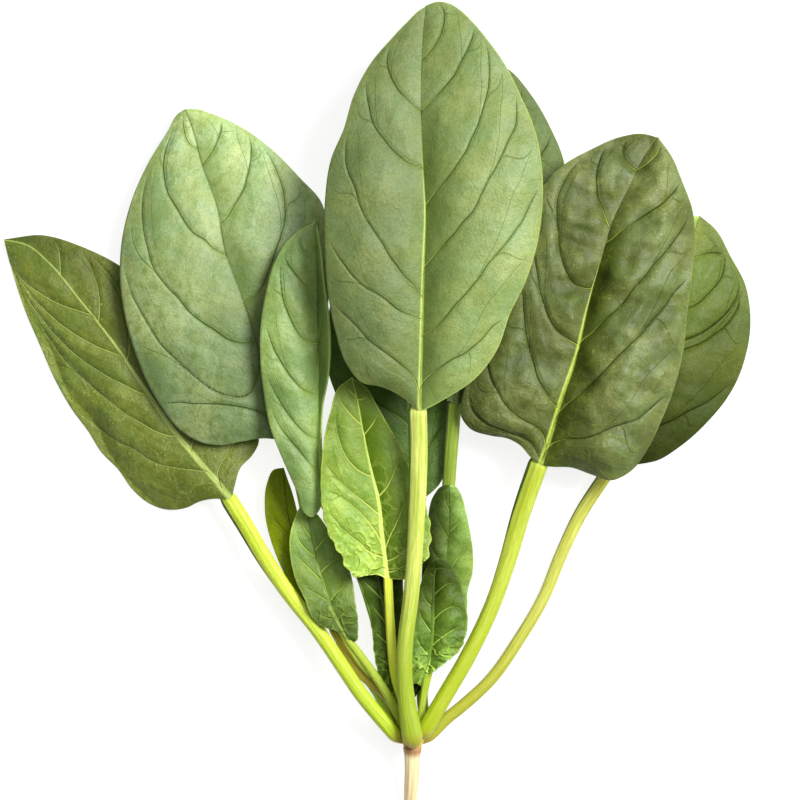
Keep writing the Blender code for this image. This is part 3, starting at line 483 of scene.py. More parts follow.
        frill=0.7, rows=120, columns=70,
    ),
)
print("leaves:", ", ".join(leaf.name for leaf in LEAVES))

# %% [markdown]
# ## The blade's surface
#
# A real blade is one soft sheet that hangs from its midrib. It could be sculpted or draped as
# cloth, but then it would no longer follow the solids. Here it is a sheet of straight lines from
# the rib to each margin, both read at the same share of their length. Height comes from the rib,
# from each half's shoulder and edge, and from the waves.


# %% Curves and the plain sheet
LOWEST_SHEET = 0.3  # height of the middle of a blade that lies flat on the surface
FRILL_WAVES = 15  # along each margin
FRILL_REACH = 0.22  # share of the blade over which the frill dies away


def smooth(low, high, value):
    t = np.clip((value - low) / (high - low), 0.0, 1.0)
    return t * t * (3 - 2 * t)


def along(points, shares):
    """Points at these shares of the length of one smooth curve through all of points."""
    points = np.array(points, float)
    steps = np.linalg.norm(np.diff(points[:, :3], axis=0), axis=1)
    knots = np.concatenate([[0.0], np.cumsum(steps)])
    slopes = np.gradient(points, knots, axis=0)
    places = np.clip(np.asarray(shares, float), 0.0, 1.0) * knots[-1]
    piece = np.clip(np.searchsorted(knots, places, side="right") - 1, 0, len(steps) - 1)
    span = (knots[piece + 1] - knots[piece])[:, None]
    t = (places - knots[piece])[:, None] / span
    start, end = points[piece], points[piece + 1]
    return (
        (2 * t**3 - 3 * t**2 + 1) * start
        + (t**3 - 2 * t**2 + t) * span * slopes[piece]
        + (3 * t**2 - 2 * t**3) * end
        + (t**3 - t**2) * span * slopes[piece + 1]
    )


def half_sheet(leaf, side, u, out):
    """The blade's middle surface on one side, and the half blade's width there."""
    rib = along(leaf.rib, u)
    points = leaf.left if side < 0 else leaf.right
    edge = along([leaf.rib[0][:2], *points, leaf.rib[-1][:2]], u)
    width = np.linalg.norm(edge - rib[:, :2], axis=1)
    shoulder, edge_lift = leaf.left_lift if side < 0 else leaf.right_lift
    lift = width * ((4 * shoulder - edge_lift) * out + (2 * edge_lift - 4 * shoulder) * out**2)
    lift = lift * (1 - leaf.flatter * smooth(0.5, 0.95, u))
    height, waves, start = leaf.ripple
    fade = np.sqrt(np.clip(np.sin(np.pi * u), 0.0, 1.0))
    ripple = height * fade * out**3 * np.sin(2 * np.pi * waves * u + start + side)
    # The frill starts within the first 4% of the blade, and sways a little sideways too.
    frill = leaf.frill * out**2 * np.exp(-u / FRILL_REACH) * np.minimum(u / 0.04, 1.0)
    wave = 2 * np.pi * FRILL_WAVES * u
    ripple = ripple + frill * np.sin(wave + start + 2 * side)
    plan = rib[:, :2] + (out + 0.07 * frill * np.cos(wave))[:, None] * (edge - rib[:, :2])
    z = np.maximum(rib[:, 2] + lift + ripple, LOWEST_SHEET)
    return np.column_stack([plan, z]), width


front_margins = np.array(LEAVES[0].left + LEAVES[0].right)
print("front blade:", np.ptp(front_margins, axis=0).round(1), "mm wide and long")

# %% [markdown]
# ## Side veins
#
# Side veins leave the midrib in pairs and curve towards the tip. Painted lines would need an image,
# and modelled ones very many faces. Instead each half of a blade gets a phase that is a whole
# number on every side vein and runs evenly from one to the next. A shader can then draw veins of
# any width as the places where the phase is whole.


# %% The vein phase
EVEN_STARTS = np.linspace(0.1, 0.86, 6)  # of the veins of a half blade that is mostly hidden
LEAST_GAP = 0.03  # between two side veins, as a share of the rib


def vein_lines(leaf, side):
    """For each side vein, a polynomial that gives its place along the rib at each share outwards."""
    veins = leaf.left_veins if side < 0 else leaf.right_veins
    if not veins:
        return [np.array([-0.04, 0.24, start]) for start in EVEN_STARTS]
    u, out = np.meshgrid(np.linspace(0, 1, 201), np.linspace(0, 1, 61), indexing="ij")
    table, _ = half_sheet(leaf, side, u.ravel(), out.ravel())
    lines = []
    for vein in veins:
        route = along(vein, np.linspace(0, 1, 12))
        near = [np.argmin(np.linalg.norm(table[:, :2] - point, axis=1)) for point in route]
        lines.append(np.polyfit(out.ravel()[near], u.ravel()[near], 2))
    return sorted(lines, key=lambda line: line[-1])


def vein_phase(lines, u, out):
    """Whole on every side vein, and even between them."""
    crossings = np.array([np.polyval(line, out) for line in lines])
    spread = LEAST_GAP * np.arange(len(lines))[:, None]
    crossings = np.maximum.accumulate(crossings + spread, axis=0)
    crossings -= spread
    gaps = np.maximum(np.diff(crossings, axis=0), LEAST_GAP)
    phase = np.clip((u - crossings[0]) / gaps[0], -0.5, 0.0)
    for low, gap in zip(crossings, gaps):
        phase += np.clip((u - low) / gap, 0.0, 1.0)
    return phase + np.clip((u - crossings[-1]) / gaps[-1], 0.0, 0.5)


given_veins = sum(len(leaf.left_veins) + len(leaf.right_veins) for leaf in LEAVES)
print("side veins given by points:", given_veins)

# %% [markdown]
# ## Blades
#
# Between its veins the real tissue grows up into soft pillows. A displaced plane could show them,
# but in a grid that is drawn out to the outline each vertex knows how far it is from the rib, the
# margin and the nearest vein. The sheet bulges between the veins and dips along them, and Solidify
# gives it its thickness. What the shader needs is kept on the vertices.


# %% Pieces, kept values and grids
pieces = {}


def add_piece(name, mesh, node):
    made = bpy.data.objects.new(name, mesh)
    bpy.context.scene.collection.objects.link(made)
    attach(made, "root")
    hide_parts(node)
    pieces[name] = made
    return made


def keep(mesh, name, values):
    mesh.attributes.new(name, "FLOAT", "POINT").data.foreach_set("value", values.astype(np.float32))


def grid(name, columns, rows, size):
    form = bmesh.new()
    bmesh.ops.create_grid(form, x_segments=columns, y_segments=rows, size=size)
    mesh = bpy.data.meshes.new(name)
    form.to_mesh(mesh)
    form.free()
    return mesh


# %% Read one half of a blade
STEP = 1e-3  # how far slopes are read, as a share of the rib or of the half blade
LEAST_SLOPE = 0.02  # a gap between veins is never taken to be more than 50 mm


def read_half(leaf, side, u, out):
    """Place, width, vein phase and gap between the veins at points of one half."""
    lines = vein_lines(leaf, side)
    place, width = half_sheet(leaf, side, u, out)
    phase = vein_phase(lines, u, out)
    ahead, _ = half_sheet(leaf, side, u + STEP, out)
    outer, _ = half_sheet(leaf, side, u, out + STEP)
    du = (ahead - place)[:, :2] / STEP
    dv = (outer - place)[:, :2] / STEP
    pu = (vein_phase(lines, u + STEP, out) - phase) / STEP
    pv = (vein_phase(lines, u, out + STEP) - phase) / STEP
    area = du[:, 0] * dv[:, 1] - du[:, 1] * dv[:, 0]
    area = np.where(np.abs(area) < 1e-3, 1e-3, area)
    slope = np.column_stack([
        (pu * dv[:, 1] - pv * du[:, 1]) / area,
        (pv * du[:, 0] - pu * dv[:, 0]) / area,
    ])
    return place, width, phase, 1 / np.maximum(np.linalg.norm(slope, axis=1), LEAST_SLOPE)


# %% Quilting between the veins
PILLOW_REACH = 4.0  # how far from a vein the tissue has risen
DIP_WIDTH = 0.8
PILLOW_WAVES = (0.28, 0.41, 0.63, 0.9)  # each finer and weaker than the last


def quilting(leaf, seed, place, u, from_vein, from_rib, edge):
    """How far the tissue rises between the veins and dips along them."""
    bulge = (1 - np.exp(-((from_vein / PILLOW_REACH) ** 2))) * smooth(0.5, 6.0, from_rib)
    bulge = bulge * smooth(0.0, 6.0, edge)
    dip = np.exp(-((from_vein / DIP_WIDTH) ** 2)) * smooth(1.0, 4.0, edge)
    uneven = np.zeros(len(u))
    turn = np.random.default_rng(seed).uniform(0, 6.28, 8)
    for index, size in enumerate(PILLOW_WAVES):
        one, two = turn[2 * index], turn[2 * index + 1]
        uneven += np.sin(size * (place[:, 0] + 0.6 * place[:, 1]) + one) * np.sin(
            size * (place[:, 1] - 0.5 * place[:, 0]) + two
        ) / (1 + index)
    body = np.clip(np.sin(np.pi * np.clip(u, 0, 1)), 0, 1) ** 0.5
    lift = leaf.bulge * body * (bulge * (1.0 + 0.45 * uneven) - 0.2 * dip)
    return lift - 0.25 * leaf.bulge * body * smooth(0.0, 5.0, edge)


# %% Build the blades
BLADE_THICKNESS = 0.5


def build_blade(leaf, seed):
    mesh = grid(f"{leaf.name}_leaf_blade", leaf.columns, leaf.rows, 1.0)
    flat = np.empty(len(mesh.vertices) * 3)
    mesh.vertices.foreach_get("co", flat)
    flat = flat.reshape(-1, 3)
    # Columns stand closer together near the rib, and rows at the base and the tip.
    v = np.sign(flat[:, 0]) * np.abs(flat[:, 0]) ** 1.15
    u = (flat[:, 1] + 1) / 2
    u = u - 0.12 * np.sin(2 * np.pi * u) / (2 * np.pi)
    out = np.abs(v)
    place = np.empty((len(u), 3))
    width, phase, gap = np.empty((3, len(u)))
    for side, half in ((-1, v < 0), (1, v >= 0)):
        place[half], width[half], phase[half], gap[half] = read_half(leaf, side, u[half], out[half])
    edge = (1 - out) * width
    from_vein = np.abs((phase + 0.5) % 1.0 - 0.5) * gap
    place[:, 2] += quilting(leaf, seed, place, u, from_vein, np.abs(v * width), edge)
    place[:, 2] = np.maximum(place[:, 2], LOWEST_SHEET)
    mesh.vertices.foreach_set("co", ((place + PLACE) * MM).ravel())
    for name, values in (
        ("phase", phase), ("gap", gap), ("across", v * width), ("edge", edge), ("share", u),
    ):
        keep(mesh, name, values)
    mesh.shade_smooth()
    made = add_piece(f"{leaf.name}_leaf_blade", mesh, f"{leaf.name}_blade")
    solid = made.modifiers.new("thickness", "SOLIDIFY")
    solid.thickness = BLADE_THICKNESS * MM
    solid.offset = 0.0


BLADE_SEED = 3
for number, leaf in enumerate(LEAVES):
    build_blade(leaf, BLADE_SEED + number)
print("blades:", sum(len(piece.data.polygons) for piece in pieces.values()), "faces on one side")

# %% [markdown]
# ## Stalks
#
# A real stalk is fleshy and ribbed, with a shallow channel along its upper side. A bevelled curve
# would be round all the way, so the tube is built ring by ring. It rises into the blade's base and
# runs on as the midrib, sunk into the blade so that only its top shows.


# %% A stalk's route
def stalk_line(leaf):
    """Centre, radius and share along the stalk, crown 0 to blade 1, on to 2 at the leaf's tip."""
    at_crown, at_blade = leaf.thickness
    base_radius, tip_radius = leaf.rib_radius
    neck = np.array(leaf.rib[0]) - (0, 0, at_blade * 0.75)
    points = np.array([*leaf.stalk, tuple(neck)])
    length = np.linalg.norm(np.diff(points, axis=0), axis=1).sum()
    near = np.linspace(0, 1, 16) ** 2 * min(4.0 / length, 0.4)
    free = np.concatenate([near[:-1], np.linspace(near[-1], 1.0, 80)])
    route = along(points, free)
    # The end in the crown is rounded over its first four millimetres.
    rounding = np.interp(free * length, [0.0, 1.3, 2.8, 4.2], [0.15, 0.5, 0.85, 1.0])
    radius = rounding * np.interp(free, [0.0, 0.2, 1.0], [at_crown + 0.2, at_blade * 1.03, at_blade])
    u = np.linspace(0.0, 0.96, 90)[1:]
    rib = along(leaf.rib, u)
    taper = (1 - u) ** 1.2
    thin = tip_radius + (base_radius - tip_radius) * taper
    ease = np.exp(-u / 0.05)
    rib_thickness = thin + (at_blade - base_radius) * ease
    shown = leaf.proud * thin
    rib[:, 2] += shown - rib_thickness
    return (
        np.vstack([route, rib]),
        np.concatenate([radius, rib_thickness]),
        np.concatenate([free, 1 + u]),
    )


# %% Tubes
def tube(name, line, size, turn, narrow=1.0):
    """A closed tube round a line. Size is each ring's reach at each turn round it."""
    tangent = np.gradient(line, axis=0)
    tangent /= np.linalg.norm(tangent, axis=1)[:, None]
    side = np.cross(tangent, (0.0, 0.0, 1.0))
    side /= np.linalg.norm(side, axis=1)[:, None]
    up = np.cross(side, tangent)
    ring = (
        line[:, None, :]
        + narrow * size[:, :, None] * np.cos(turn)[None, :, None] * side[:, None, :]
        + size[:, :, None] * np.sin(turn)[None, :, None] * up[:, None, :]
    )
    ring[:, :, 2] = np.maximum(ring[:, :, 2], 0.0)
    rows, sides = ring.shape[:2]
    form = bmesh.new()
    verts = [form.verts.new(((point + PLACE) * MM).tolist()) for point in ring.reshape(-1, 3)]
    for row in range(rows - 1):
        for column in range(sides):
            beside = (column + 1) % sides
            form.faces.new((
                verts[row * sides + column],
                verts[row * sides + beside],
                verts[(row + 1) * sides + beside],
                verts[(row + 1) * sides + column],
            ))
    form.faces.new(verts[sides - 1::-1])
    form.faces.new(verts[-sides:])
    bmesh.ops.recalc_face_normals(form, faces=form.faces)
    mesh = bpy.data.meshes.new(name)
    form.to_mesh(mesh)
    form.free()
    length = np.concatenate([[0.0], np.cumsum(np.linalg.norm(np.diff(line, axis=0), axis=1))])
    keep(mesh, "length", np.repeat(length, sides))
    keep(mesh, "turn_x", np.tile(np.cos(turn), rows))
    keep(mesh, "turn_y", np.tile(np.sin(turn), rows))
    mesh.shade_smooth()
    return mesh


# %% Build the stalks
STALK_SIDES = 28


def build_stalk(leaf, seed):
    line, radius, share = stalk_line(leaf)
    turn = np.linspace(0, 2 * np.pi, STALK_SIDES, endpoint=False)
    draw = np.random.default_rng(seed)
    # Seven broad ribs and eleven fine ones, the channel on top and the wing on the left side.
    ribs = 0.025 * np.cos(7 * turn + draw.uniform(0, 6)) + 0.015 * np.cos(11 * turn + 1.0)
    channel = -0.10 * np.exp(-(((turn - np.pi / 2) / 0.35) ** 2))
    near_blade = (smooth(0.45, 1.0, share) * smooth(1.08, 1.0, share))[:, None]
    wing_turn = np.exp(-(((turn - np.pi * 0.95) / 0.25) ** 2))
    wing = leaf.wing * wing_turn[None, :] * near_blade
    size = radius[:, None] * (1 + (ribs + channel)[None, :]) + wing
    mesh = tube(f"{leaf.name}_leaf_stalk", line, size, turn)
    keep(mesh, "share", np.repeat(share, STALK_SIDES))
    keep(mesh, "wing", (wing_turn[None, :] * near_blade).ravel())
    add_piece(f"{leaf.name}_leaf_stalk", mesh, f"{leaf.name}_stalk")


STALK_SEED = 30
for number, leaf in enumerate(LEAVES):
    build_stalk(leaf, STALK_SEED + number)
print("stalks:", sum(name.endswith("_stalk") for name in pieces))

# %% [markdown]
# ## Crown and taproot
#
# The crown is knobbly where old leaves came off, and the root has fine lengthwise wrinkles and a
# plain cut end. Both could be sculpted, but rings of points round a line, pushed in and out by low
# waves, give these forms from a few numbers, and the stalks' tube already makes such rings.


# %% Build the crown and the taproot
ROUND_SIDES = 72
WRINKLES = 0.03  # their height, as a share of the radius


def turned_body(name, line, radius, node, knobs=0.0, narrow=1.0):
    line = np.array(line, float)
    turn = np.linspace(0, 2 * np.pi, ROUND_SIDES, endpoint=False)
    rows = np.arange(len(line))[:, None] / len(line)
    wrinkle = WRINKLES * (np.cos(9 * turn + 4 * rows) * 0.6 + np.cos(17 * turn - 7 * rows) * 0.4)
    wrinkle = wrinkle + knobs * np.sin(5 * turn + 9 * rows) * np.sin(11 * rows)
    size = np.array(radius)[:, None] * (1 + wrinkle)
    add_piece(name, tube(name, line, size, turn, narrow), node)


CROWN_PROFILE = (  # Y and radius
    (-4.6, 2.4), (-4.3, 2.7), (-3.6, 2.9), (-1.6, 3.7), (0.6, 5.2), (2.4, 5.0), (3.2, 3.6), (3.4, 1.2),
)
crown_y = np.interp(np.linspace(0, 7, 40), range(8), [place for place, _ in CROWN_PROFILE])
crown_r = np.interp(crown_y, *zip(*CROWN_PROFILE))
crown_line = [(0.5, y, 9.8) for y in crown_y]
turned_body("crown_knob", crown_line, crown_r, "crown", knobs=0.05, narrow=0.82)

ROOT_ROUTE = (  # each point's place and the root's radius there
    (0.5, -2.4, 10.6, 2.9), (0.5, -3.6, 10.2, 2.8), (0.4, -5.4, 9.7, 2.5), (0.4, -9.0, 8.6, 2.4),
    (0.1, -15.0, 6.5, 2.25), (-0.2, -21.0, 4.1, 2.0), (-0.1, -26.5, 1.4, 1.85),
)
root_line = along(ROOT_ROUTE, np.linspace(0, 1, 60))
turned_body("root_stub", root_line[:, :3], root_line[:, 3], "taproot")
print("pieces so far:", len(pieces))

# %% [markdown]
# ## Shaders
#
# The leaves share a few effects with different values, so each effect is a node group that is
# built once: one draws the veins from the vertex values, one gives the tissue's texture, one mixes
# a leaf's greens, one gives its fine relief, and one streaks the stalks and the root lengthwise.
# Short helpers for the nodes come first.


# %% Node helpers
def new_group(name, inputs, outputs):
    """A node group, what it is given and what it puts out. A value of None is a point."""
    group = bpy.data.node_groups.new(name, "ShaderNodeTree")
    for label, value in inputs.items():
        kind = "Vector" if value is None else "Color" if isinstance(value, tuple) else "Float"
        socket = group.interface.new_socket(label, in_out="INPUT", socket_type=f"NodeSocket{kind}")
        if value is not None:
            socket.default_value = value
    for label in outputs:
        kind = "Color" if label == "Colour" else "Float"
        group.interface.new_socket(label, in_out="OUTPUT", socket_type=f"NodeSocket{kind}")
    print(f"group {name}: {len(inputs)} inputs, {len(outputs)} outputs")
    return group, group.nodes.new("NodeGroupInput").outputs, group.nodes.new("NodeGroupOutput").inputs


def join(tree, source, target):
    """Links a node's output to an input, or sets the input to a plain value."""
    if isinstance(source, bpy.types.NodeSocket):
        tree.links.new(source, target)
    else:
        target.default_value = source


def sums(tree, operation, *values, clamp=False):
    node = tree.nodes.new("ShaderNodeMath")
    node.operation = operation
    node.use_clamp = clamp
    for value, socket in zip(values, node.inputs):
        join(tree, value, socket)
    return node.outputs["Value"]


def times(tree, first, second):
    return sums(tree, "MULTIPLY", first, second)


def ramp(tree, value, low, high, to_low=0.0, to_high=1.0):
    """A smooth step from to_low to to_high as value goes from low to high."""
    node = tree.nodes.new("ShaderNodeMapRange")
    node.interpolation_type = "SMOOTHSTEP"
    for source, label in (
        (value, "Value"), (low, "From Min"), (high, "From Max"),
        (to_low, "To Min"), (to_high, "To Max"),
    ):
        join(tree, source, node.inputs[label])
    return node.outputs["Result"]


def blend(tree, share, first, second, mode="MIX"):
    node = tree.nodes.new("ShaderNodeMix")
    node.data_type = "RGBA"
    node.blend_type = mode
    join(tree, share, node.inputs["Factor"])
    join(tree, first, node.inputs[6])
    join(tree, second, node.inputs[7])
    return node.outputs[2]


def noise(tree, place, scale, detail=3.0, rough=0.55):
    node = tree.nodes.new("ShaderNodeTexNoise")
    join(tree, place, node.inputs["Vector"])
    join(tree, scale, node.inputs["Scale"])
    node.inputs["Detail"].default_value = detail
    node.inputs["Roughness"].default_value = rough
    return node.outputs["Fac"]


def kept(tree, name):
    node = tree.nodes.new("ShaderNodeAttribute")
    node.attribute_name = name
    return node.outputs["Fac"]


def colour(values):
    return (*values, 1.0)


# %% [markdown]
# The vein group turns the phase into lines. Distance from the nearest side vein is the phase's
# distance from a whole number times the gap between veins. Past the middle of the half blade each
# vein forks, and its branches bend away towards the next veins. All taper and fade at the margin.

# %% Vein group
vein_group, given, out = new_group(
    "leaf_veins",
    {"Phase": 0.0, "Gap": 10.0, "Across": 0.0, "Edge": 10.0, "Share": 0.5, "Waver": 0.5,
     "Vein width": 0.5, "Rib base": 1.2, "Rib tip": 0.4},
    ("Side veins", "Branches", "Midrib", "Near vein", "From rib"),
)
tree = vein_group
waver = times(tree, sums(tree, "SUBTRACT", given["Waver"], 0.5), 0.22)
wavered = sums(tree, "ADD", given["Phase"], waver)
part = sums(tree, "FRACT", sums(tree, "ADD", wavered, 0.5))
offset = sums(tree, "SUBTRACT", part, 0.5)
distance = times(tree, sums(tree, "ABSOLUTE", offset), given["Gap"])
from_rib = sums(tree, "ABSOLUTE", given["Across"])
half_width = sums(tree, "MAXIMUM", sums(tree, "ADD", from_rib, given["Edge"]), 0.5)
outwards = sums(tree, "DIVIDE", from_rib, half_width)
thin = ramp(tree, from_rib, 0.0, 26.0, 1.0, 0.5)
vein_width = times(tree, given["Vein width"], thin)
inside = ramp(tree, given["Edge"], 0.8, 4.5)

# %% [markdown]
# A line is drawn where a point is close enough to its middle. Side veins and midrib are single
# lines, and each branch leaves its vein part of the way out and swings towards the next one.


# %% Draw the veins
def drawn(away, width, shown):
    """A soft line where away is small, fading where shown is."""
    mark = ramp(tree, away, times(tree, width, 0.25), width, 1.0, 0.0)
    return times(tree, mark, shown)


join(tree, drawn(distance, vein_width, inside), out["Side veins"])
near = ramp(tree, distance, 0.0, times(tree, vein_width, 5.0), 1.0, 0.0)
join(tree, times(tree, near, inside), out["Near vein"])
branch_width = times(tree, vein_width, 0.8)
branches = 0.0
for start, full, swing in ((0.5, 0.8, 0.5), (0.62, 0.95, -0.5)):
    turned_away = ramp(tree, outwards, start, full, 0.0, swing)
    away = sums(tree, "ABSOLUTE", sums(tree, "SUBTRACT", offset, turned_away))
    away = times(tree, away, given["Gap"])
    seen = times(tree, ramp(tree, outwards, start, start + 0.08), inside)
    branches = sums(tree, "MAXIMUM", branches, drawn(away, branch_width, seen))
join(tree, branches, out["Branches"])
rib_width = ramp(tree, given["Share"], 0.0, 0.8, given["Rib base"], given["Rib tip"])
rib_line = ramp(tree, from_rib, times(tree, rib_width, 0.4), rib_width, 1.0, 0.0)
join(tree, rib_line, out["Midrib"])
join(tree, from_rib, out["From rib"])

# %% [markdown]
# The tissue group gives the blade's own texture, from large soft patches to fine grain. The net of
# small veins is a warped cell pattern, broken up by noise so that it never looks like paving.

# %% Tissue group
tissue_group, given, out = new_group(
    "leaf_tissue",
    {"Place": None},
    ("Patches", "Mottle", "Net", "Fine net", "Grain", "Waver", "Flecks", "Hue", "Ridges",
     "Pockets"),
)
tree = tissue_group
place = given["Place"]
# Scales are parts to a metre: 45 gives patches of about 20 mm, and 1500 a grain under a millimetre.
warp = tree.nodes.new("ShaderNodeTexNoise")
warp.inputs["Scale"].default_value = 160.0
join(tree, place, warp.inputs["Vector"])
bend = tree.nodes.new("ShaderNodeVectorMath")
bend.operation = "MULTIPLY_ADD"
join(tree, warp.outputs["Color"], bend.inputs[0])
bend.inputs[1].default_value = (8 * MM, 8 * MM, 8 * MM)  # how far the cells are bent
join(tree, place, bend.inputs[2])
for label, scale, detail in (
    ("Patches", 45.0, 2.0), ("Mottle", 330.0, 4.0), ("Grain", 1500.0, 2.0), ("Waver", 70.0, 1.0),
    ("Hue", 95.0, 3.0),
):
    join(tree, noise(tree, place, scale, detail), out[label])
# Painted glints: tiny pale specks, gathered in clusters, where crumpled skin catches the light.
glint_specks = ramp(tree, noise(tree, place, 1100.0, 3.0), 0.60, 0.70)
glint_clusters = ramp(tree, noise(tree, place, 120.0, 1.0), 0.47, 0.60)
join(tree, times(tree, glint_specks, glint_clusters), out["Flecks"])
from_middle = sums(tree, "ABSOLUTE", sums(tree, "SUBTRACT", noise(tree, place, 210.0, 1.0), 0.5))
join(tree, ramp(tree, from_middle, 0.0, 0.07, 1.0, 0.0), out["Ridges"])
join(tree, ramp(tree, noise(tree, place, 85.0, 0.6), 0.3, 0.7), out["Pockets"])

# %% Nets of small veins
for label, scale, width in (("Net", 110.0, 0.06), ("Fine net", 430.0, 0.14)):
    cells = tree.nodes.new("ShaderNodeTexVoronoi")
    cells.feature = "DISTANCE_TO_EDGE"
    cells.inputs["Scale"].default_value = scale
    join(tree, bend.outputs[0], cells.inputs["Vector"])
    net = ramp(tree, cells.outputs["Distance"], 0.0, width, 1.0, 0.0)
    broken = ramp(tree, noise(tree, place, scale * 0.6, 2.0), 0.38, 0.6)
    join(tree, times(tree, net, broken), out[label])

# %% [markdown]
# The greens group mixes a leaf's shaded, lit and vein colours. Patches and mottling move the blade
# between its two greens. Veins are creases painted with shade, pale only near the midrib, and the midrib
# is pale from the base to the share of the leaf where it sinks into the blade, and painted with the shade
# of a groove beyond. The smallest veins are darker too, or pale on some leaves.

# %% Greens group
greens_group, given, out = new_group(
    "leaf_greens",
    {"Shaded": colour((0.1, 0.18, 0.05)), "Lit": colour((0.2, 0.33, 0.12)),
     "Vein": colour((0.5, 0.6, 0.2)), "Side veins": 0.0, "Branches": 0.0, "Midrib": 0.0,
     "Near vein": 0.0, "From rib": 10.0, "Across": 0.0, "Edge": 10.0, "Share": 0.5,
     "Patches": 0.5, "Hue": 0.5, "Mottle": 0.5, "Grain": 0.5, "Flecks": 0.0, "Net": 0.0,
     "Fine net": 0.0, "Mottling": 1.0, "Fleck amount": 0.0, "Pale": 0.3, "Pale reach": 9.0,
     "Rib sinks": 0.6, "Valley": 0.3, "Valley reach": 12.0, "Valley end": 0.9, "Base left": 1.0,
     "Base right": 1.0, "Tip left": 1.0, "Tip right": 1.0, "Rim": 0.12, "Pockets": 0.5,
     "Pocket depth": 0.4, "Ridges": 0.0, "Crinkle": 0.0, "Net pale": 0.0},
    ("Colour", "Sheen"),
)
tree = greens_group
# A green is multiplied by the first of these for painted shade in folds and creases and for its darker
# grain and small veins, and by the others where it turns bluer or yellower.
SHADE_AND_DEEP_GREEN, BLUER, YELLOWER = (0.50, 0.55, 0.32), (0.91, 0.99, 1.09), (1.08, 1.02, 0.92)
deep = blend(tree, 1.0, given["Shaded"], colour(SHADE_AND_DEEP_GREEN), "MULTIPLY")
base = blend(tree, ramp(tree, given["Patches"], 0.32, 0.68), given["Shaded"], given["Lit"])
evenness = sums(tree, "MULTIPLY_ADD", given["Mottling"], -0.3, 0.7, clamp=True)
even = blend(tree, evenness, base, given["Lit"])
mottle = ramp(tree, given["Mottle"], 0.42, 0.72, 0.0, 0.50)
mottle = times(tree, mottle, given["Mottling"])
mottled = blend(tree, mottle, even, given["Shaded"])
bluer = blend(tree, 1.0, mottled, colour(BLUER), "MULTIPLY")
yellower = blend(tree, 1.0, mottled, colour(YELLOWER), "MULTIPLY")
hued = blend(tree, ramp(tree, given["Hue"], 0.36, 0.64), bluer, yellower)
hued = blend(tree, times(tree, given["Mottling"], 0.8), mottled, hued)
grained = blend(tree, ramp(tree, given["Grain"], 0.35, 0.7, 0.0, 0.34), hued, deep)

# %% [markdown]
# The tissue beside the midrib lies in a valley and is painted with shade there, darker on the right side
# and up to where the valley opens out. Then the small net, the margin and the creases of the side veins,
# painted with shade, are laid over it.

# %% Valley, net and creases
# Painted shade in the valley beside the midrib, darker on its right side.
to_right = times(tree, ramp(tree, given["Across"], -0.4, 0.6, 0.25, 1.0), given["Valley"])
valley_shade = ramp(tree, given["From rib"], 0.0, given["Valley reach"], to_right, 0.0)
opens = sums(tree, "SUBTRACT", given["Valley end"], given["Share"])
valley_shade = times(tree, valley_shade, ramp(tree, opens, -0.15, 0.15))
valley_shaded = blend(tree, valley_shade, grained, deep)
net_colour = blend(tree, given["Net pale"], deep, given["Vein"])
net_shown = sums(tree, "MULTIPLY_ADD", given["Net pale"], 0.16, 0.10)
netted = blend(tree, times(tree, given["Net"], net_shown), valley_shaded, net_colour)
finer = blend(tree, times(tree, given["Fine net"], 0.12), netted, deep)
margin = ramp(tree, given["Edge"], 0.1, 0.6, given["Rim"], 0.0)
edged = blend(tree, margin, finer, given["Vein"])
# Painted shade: the tissue beside each side vein and in its crease is darker.
near_vein_shade = blend(tree, times(tree, given["Near vein"], 0.18), edged, deep)
creases = sums(tree, "MAXIMUM", given["Side veins"], times(tree, given["Branches"], 0.45))
crease_shaded = blend(tree, times(tree, creases, 0.80), near_vein_shade, deep)

# %% Pale veins, painted glints and midrib
pale_near = ramp(tree, given["From rib"], 1.0, given["Pale reach"], given["Pale"], 0.0)
veined = blend(tree, times(tree, given["Side veins"], pale_near), crease_shaded, given["Vein"])
# Painted glints on the skin.
glint = times(tree, given["Flecks"], given["Fleck amount"])
glinted = blend(tree, glint, veined, given["Vein"])
sinks = given["Rib sinks"]
# Past where it sinks, the midrib is painted with shade as a groove.
sunk = ramp(tree, given["Share"], sums(tree, "SUBTRACT", sinks, 0.12), sums(tree, "ADD", sinks, 0.12))
rib_pale_then_shaded = blend(tree, sunk, given["Vein"], deep)
rib_shown = times(tree, given["Midrib"], 0.9)
# Painted highlights on the ridges of the crinkles round a young leaf's base.
round_base = ramp(tree, given["Share"], 0.1, 0.45, given["Crinkle"], 0.0)
painted_ridge_highlight = times(tree, times(tree, given["Ridges"], round_base), 0.4)
ribbed = blend(tree, rib_shown, blend(tree, painted_ridge_highlight, glinted, given["Vein"]), rib_pale_then_shaded)

# %% [markdown]
# Last, four tones paint light and shade on the leaf, lighter or darker from base to tip and from left to
# right, and its pockets get a little painted shade. The sheen follows the tones and fades in the valley
# and the creases.

# %% Tones and sheen
# Painted light and shade, set for each leaf from base to tip and from left to right.
half_width = sums(tree, "MAXIMUM", sums(tree, "ADD", given["From rib"], given["Edge"]), 0.5)
crossed = sums(tree, "DIVIDE", given["Across"], half_width)
at_base = ramp(tree, crossed, -0.8, 0.8, given["Base left"], given["Base right"])
at_tip = ramp(tree, crossed, -0.8, 0.8, given["Tip left"], given["Tip right"])
painted_tone = ramp(tree, given["Share"], 0.0, 1.0, at_base, at_tip)
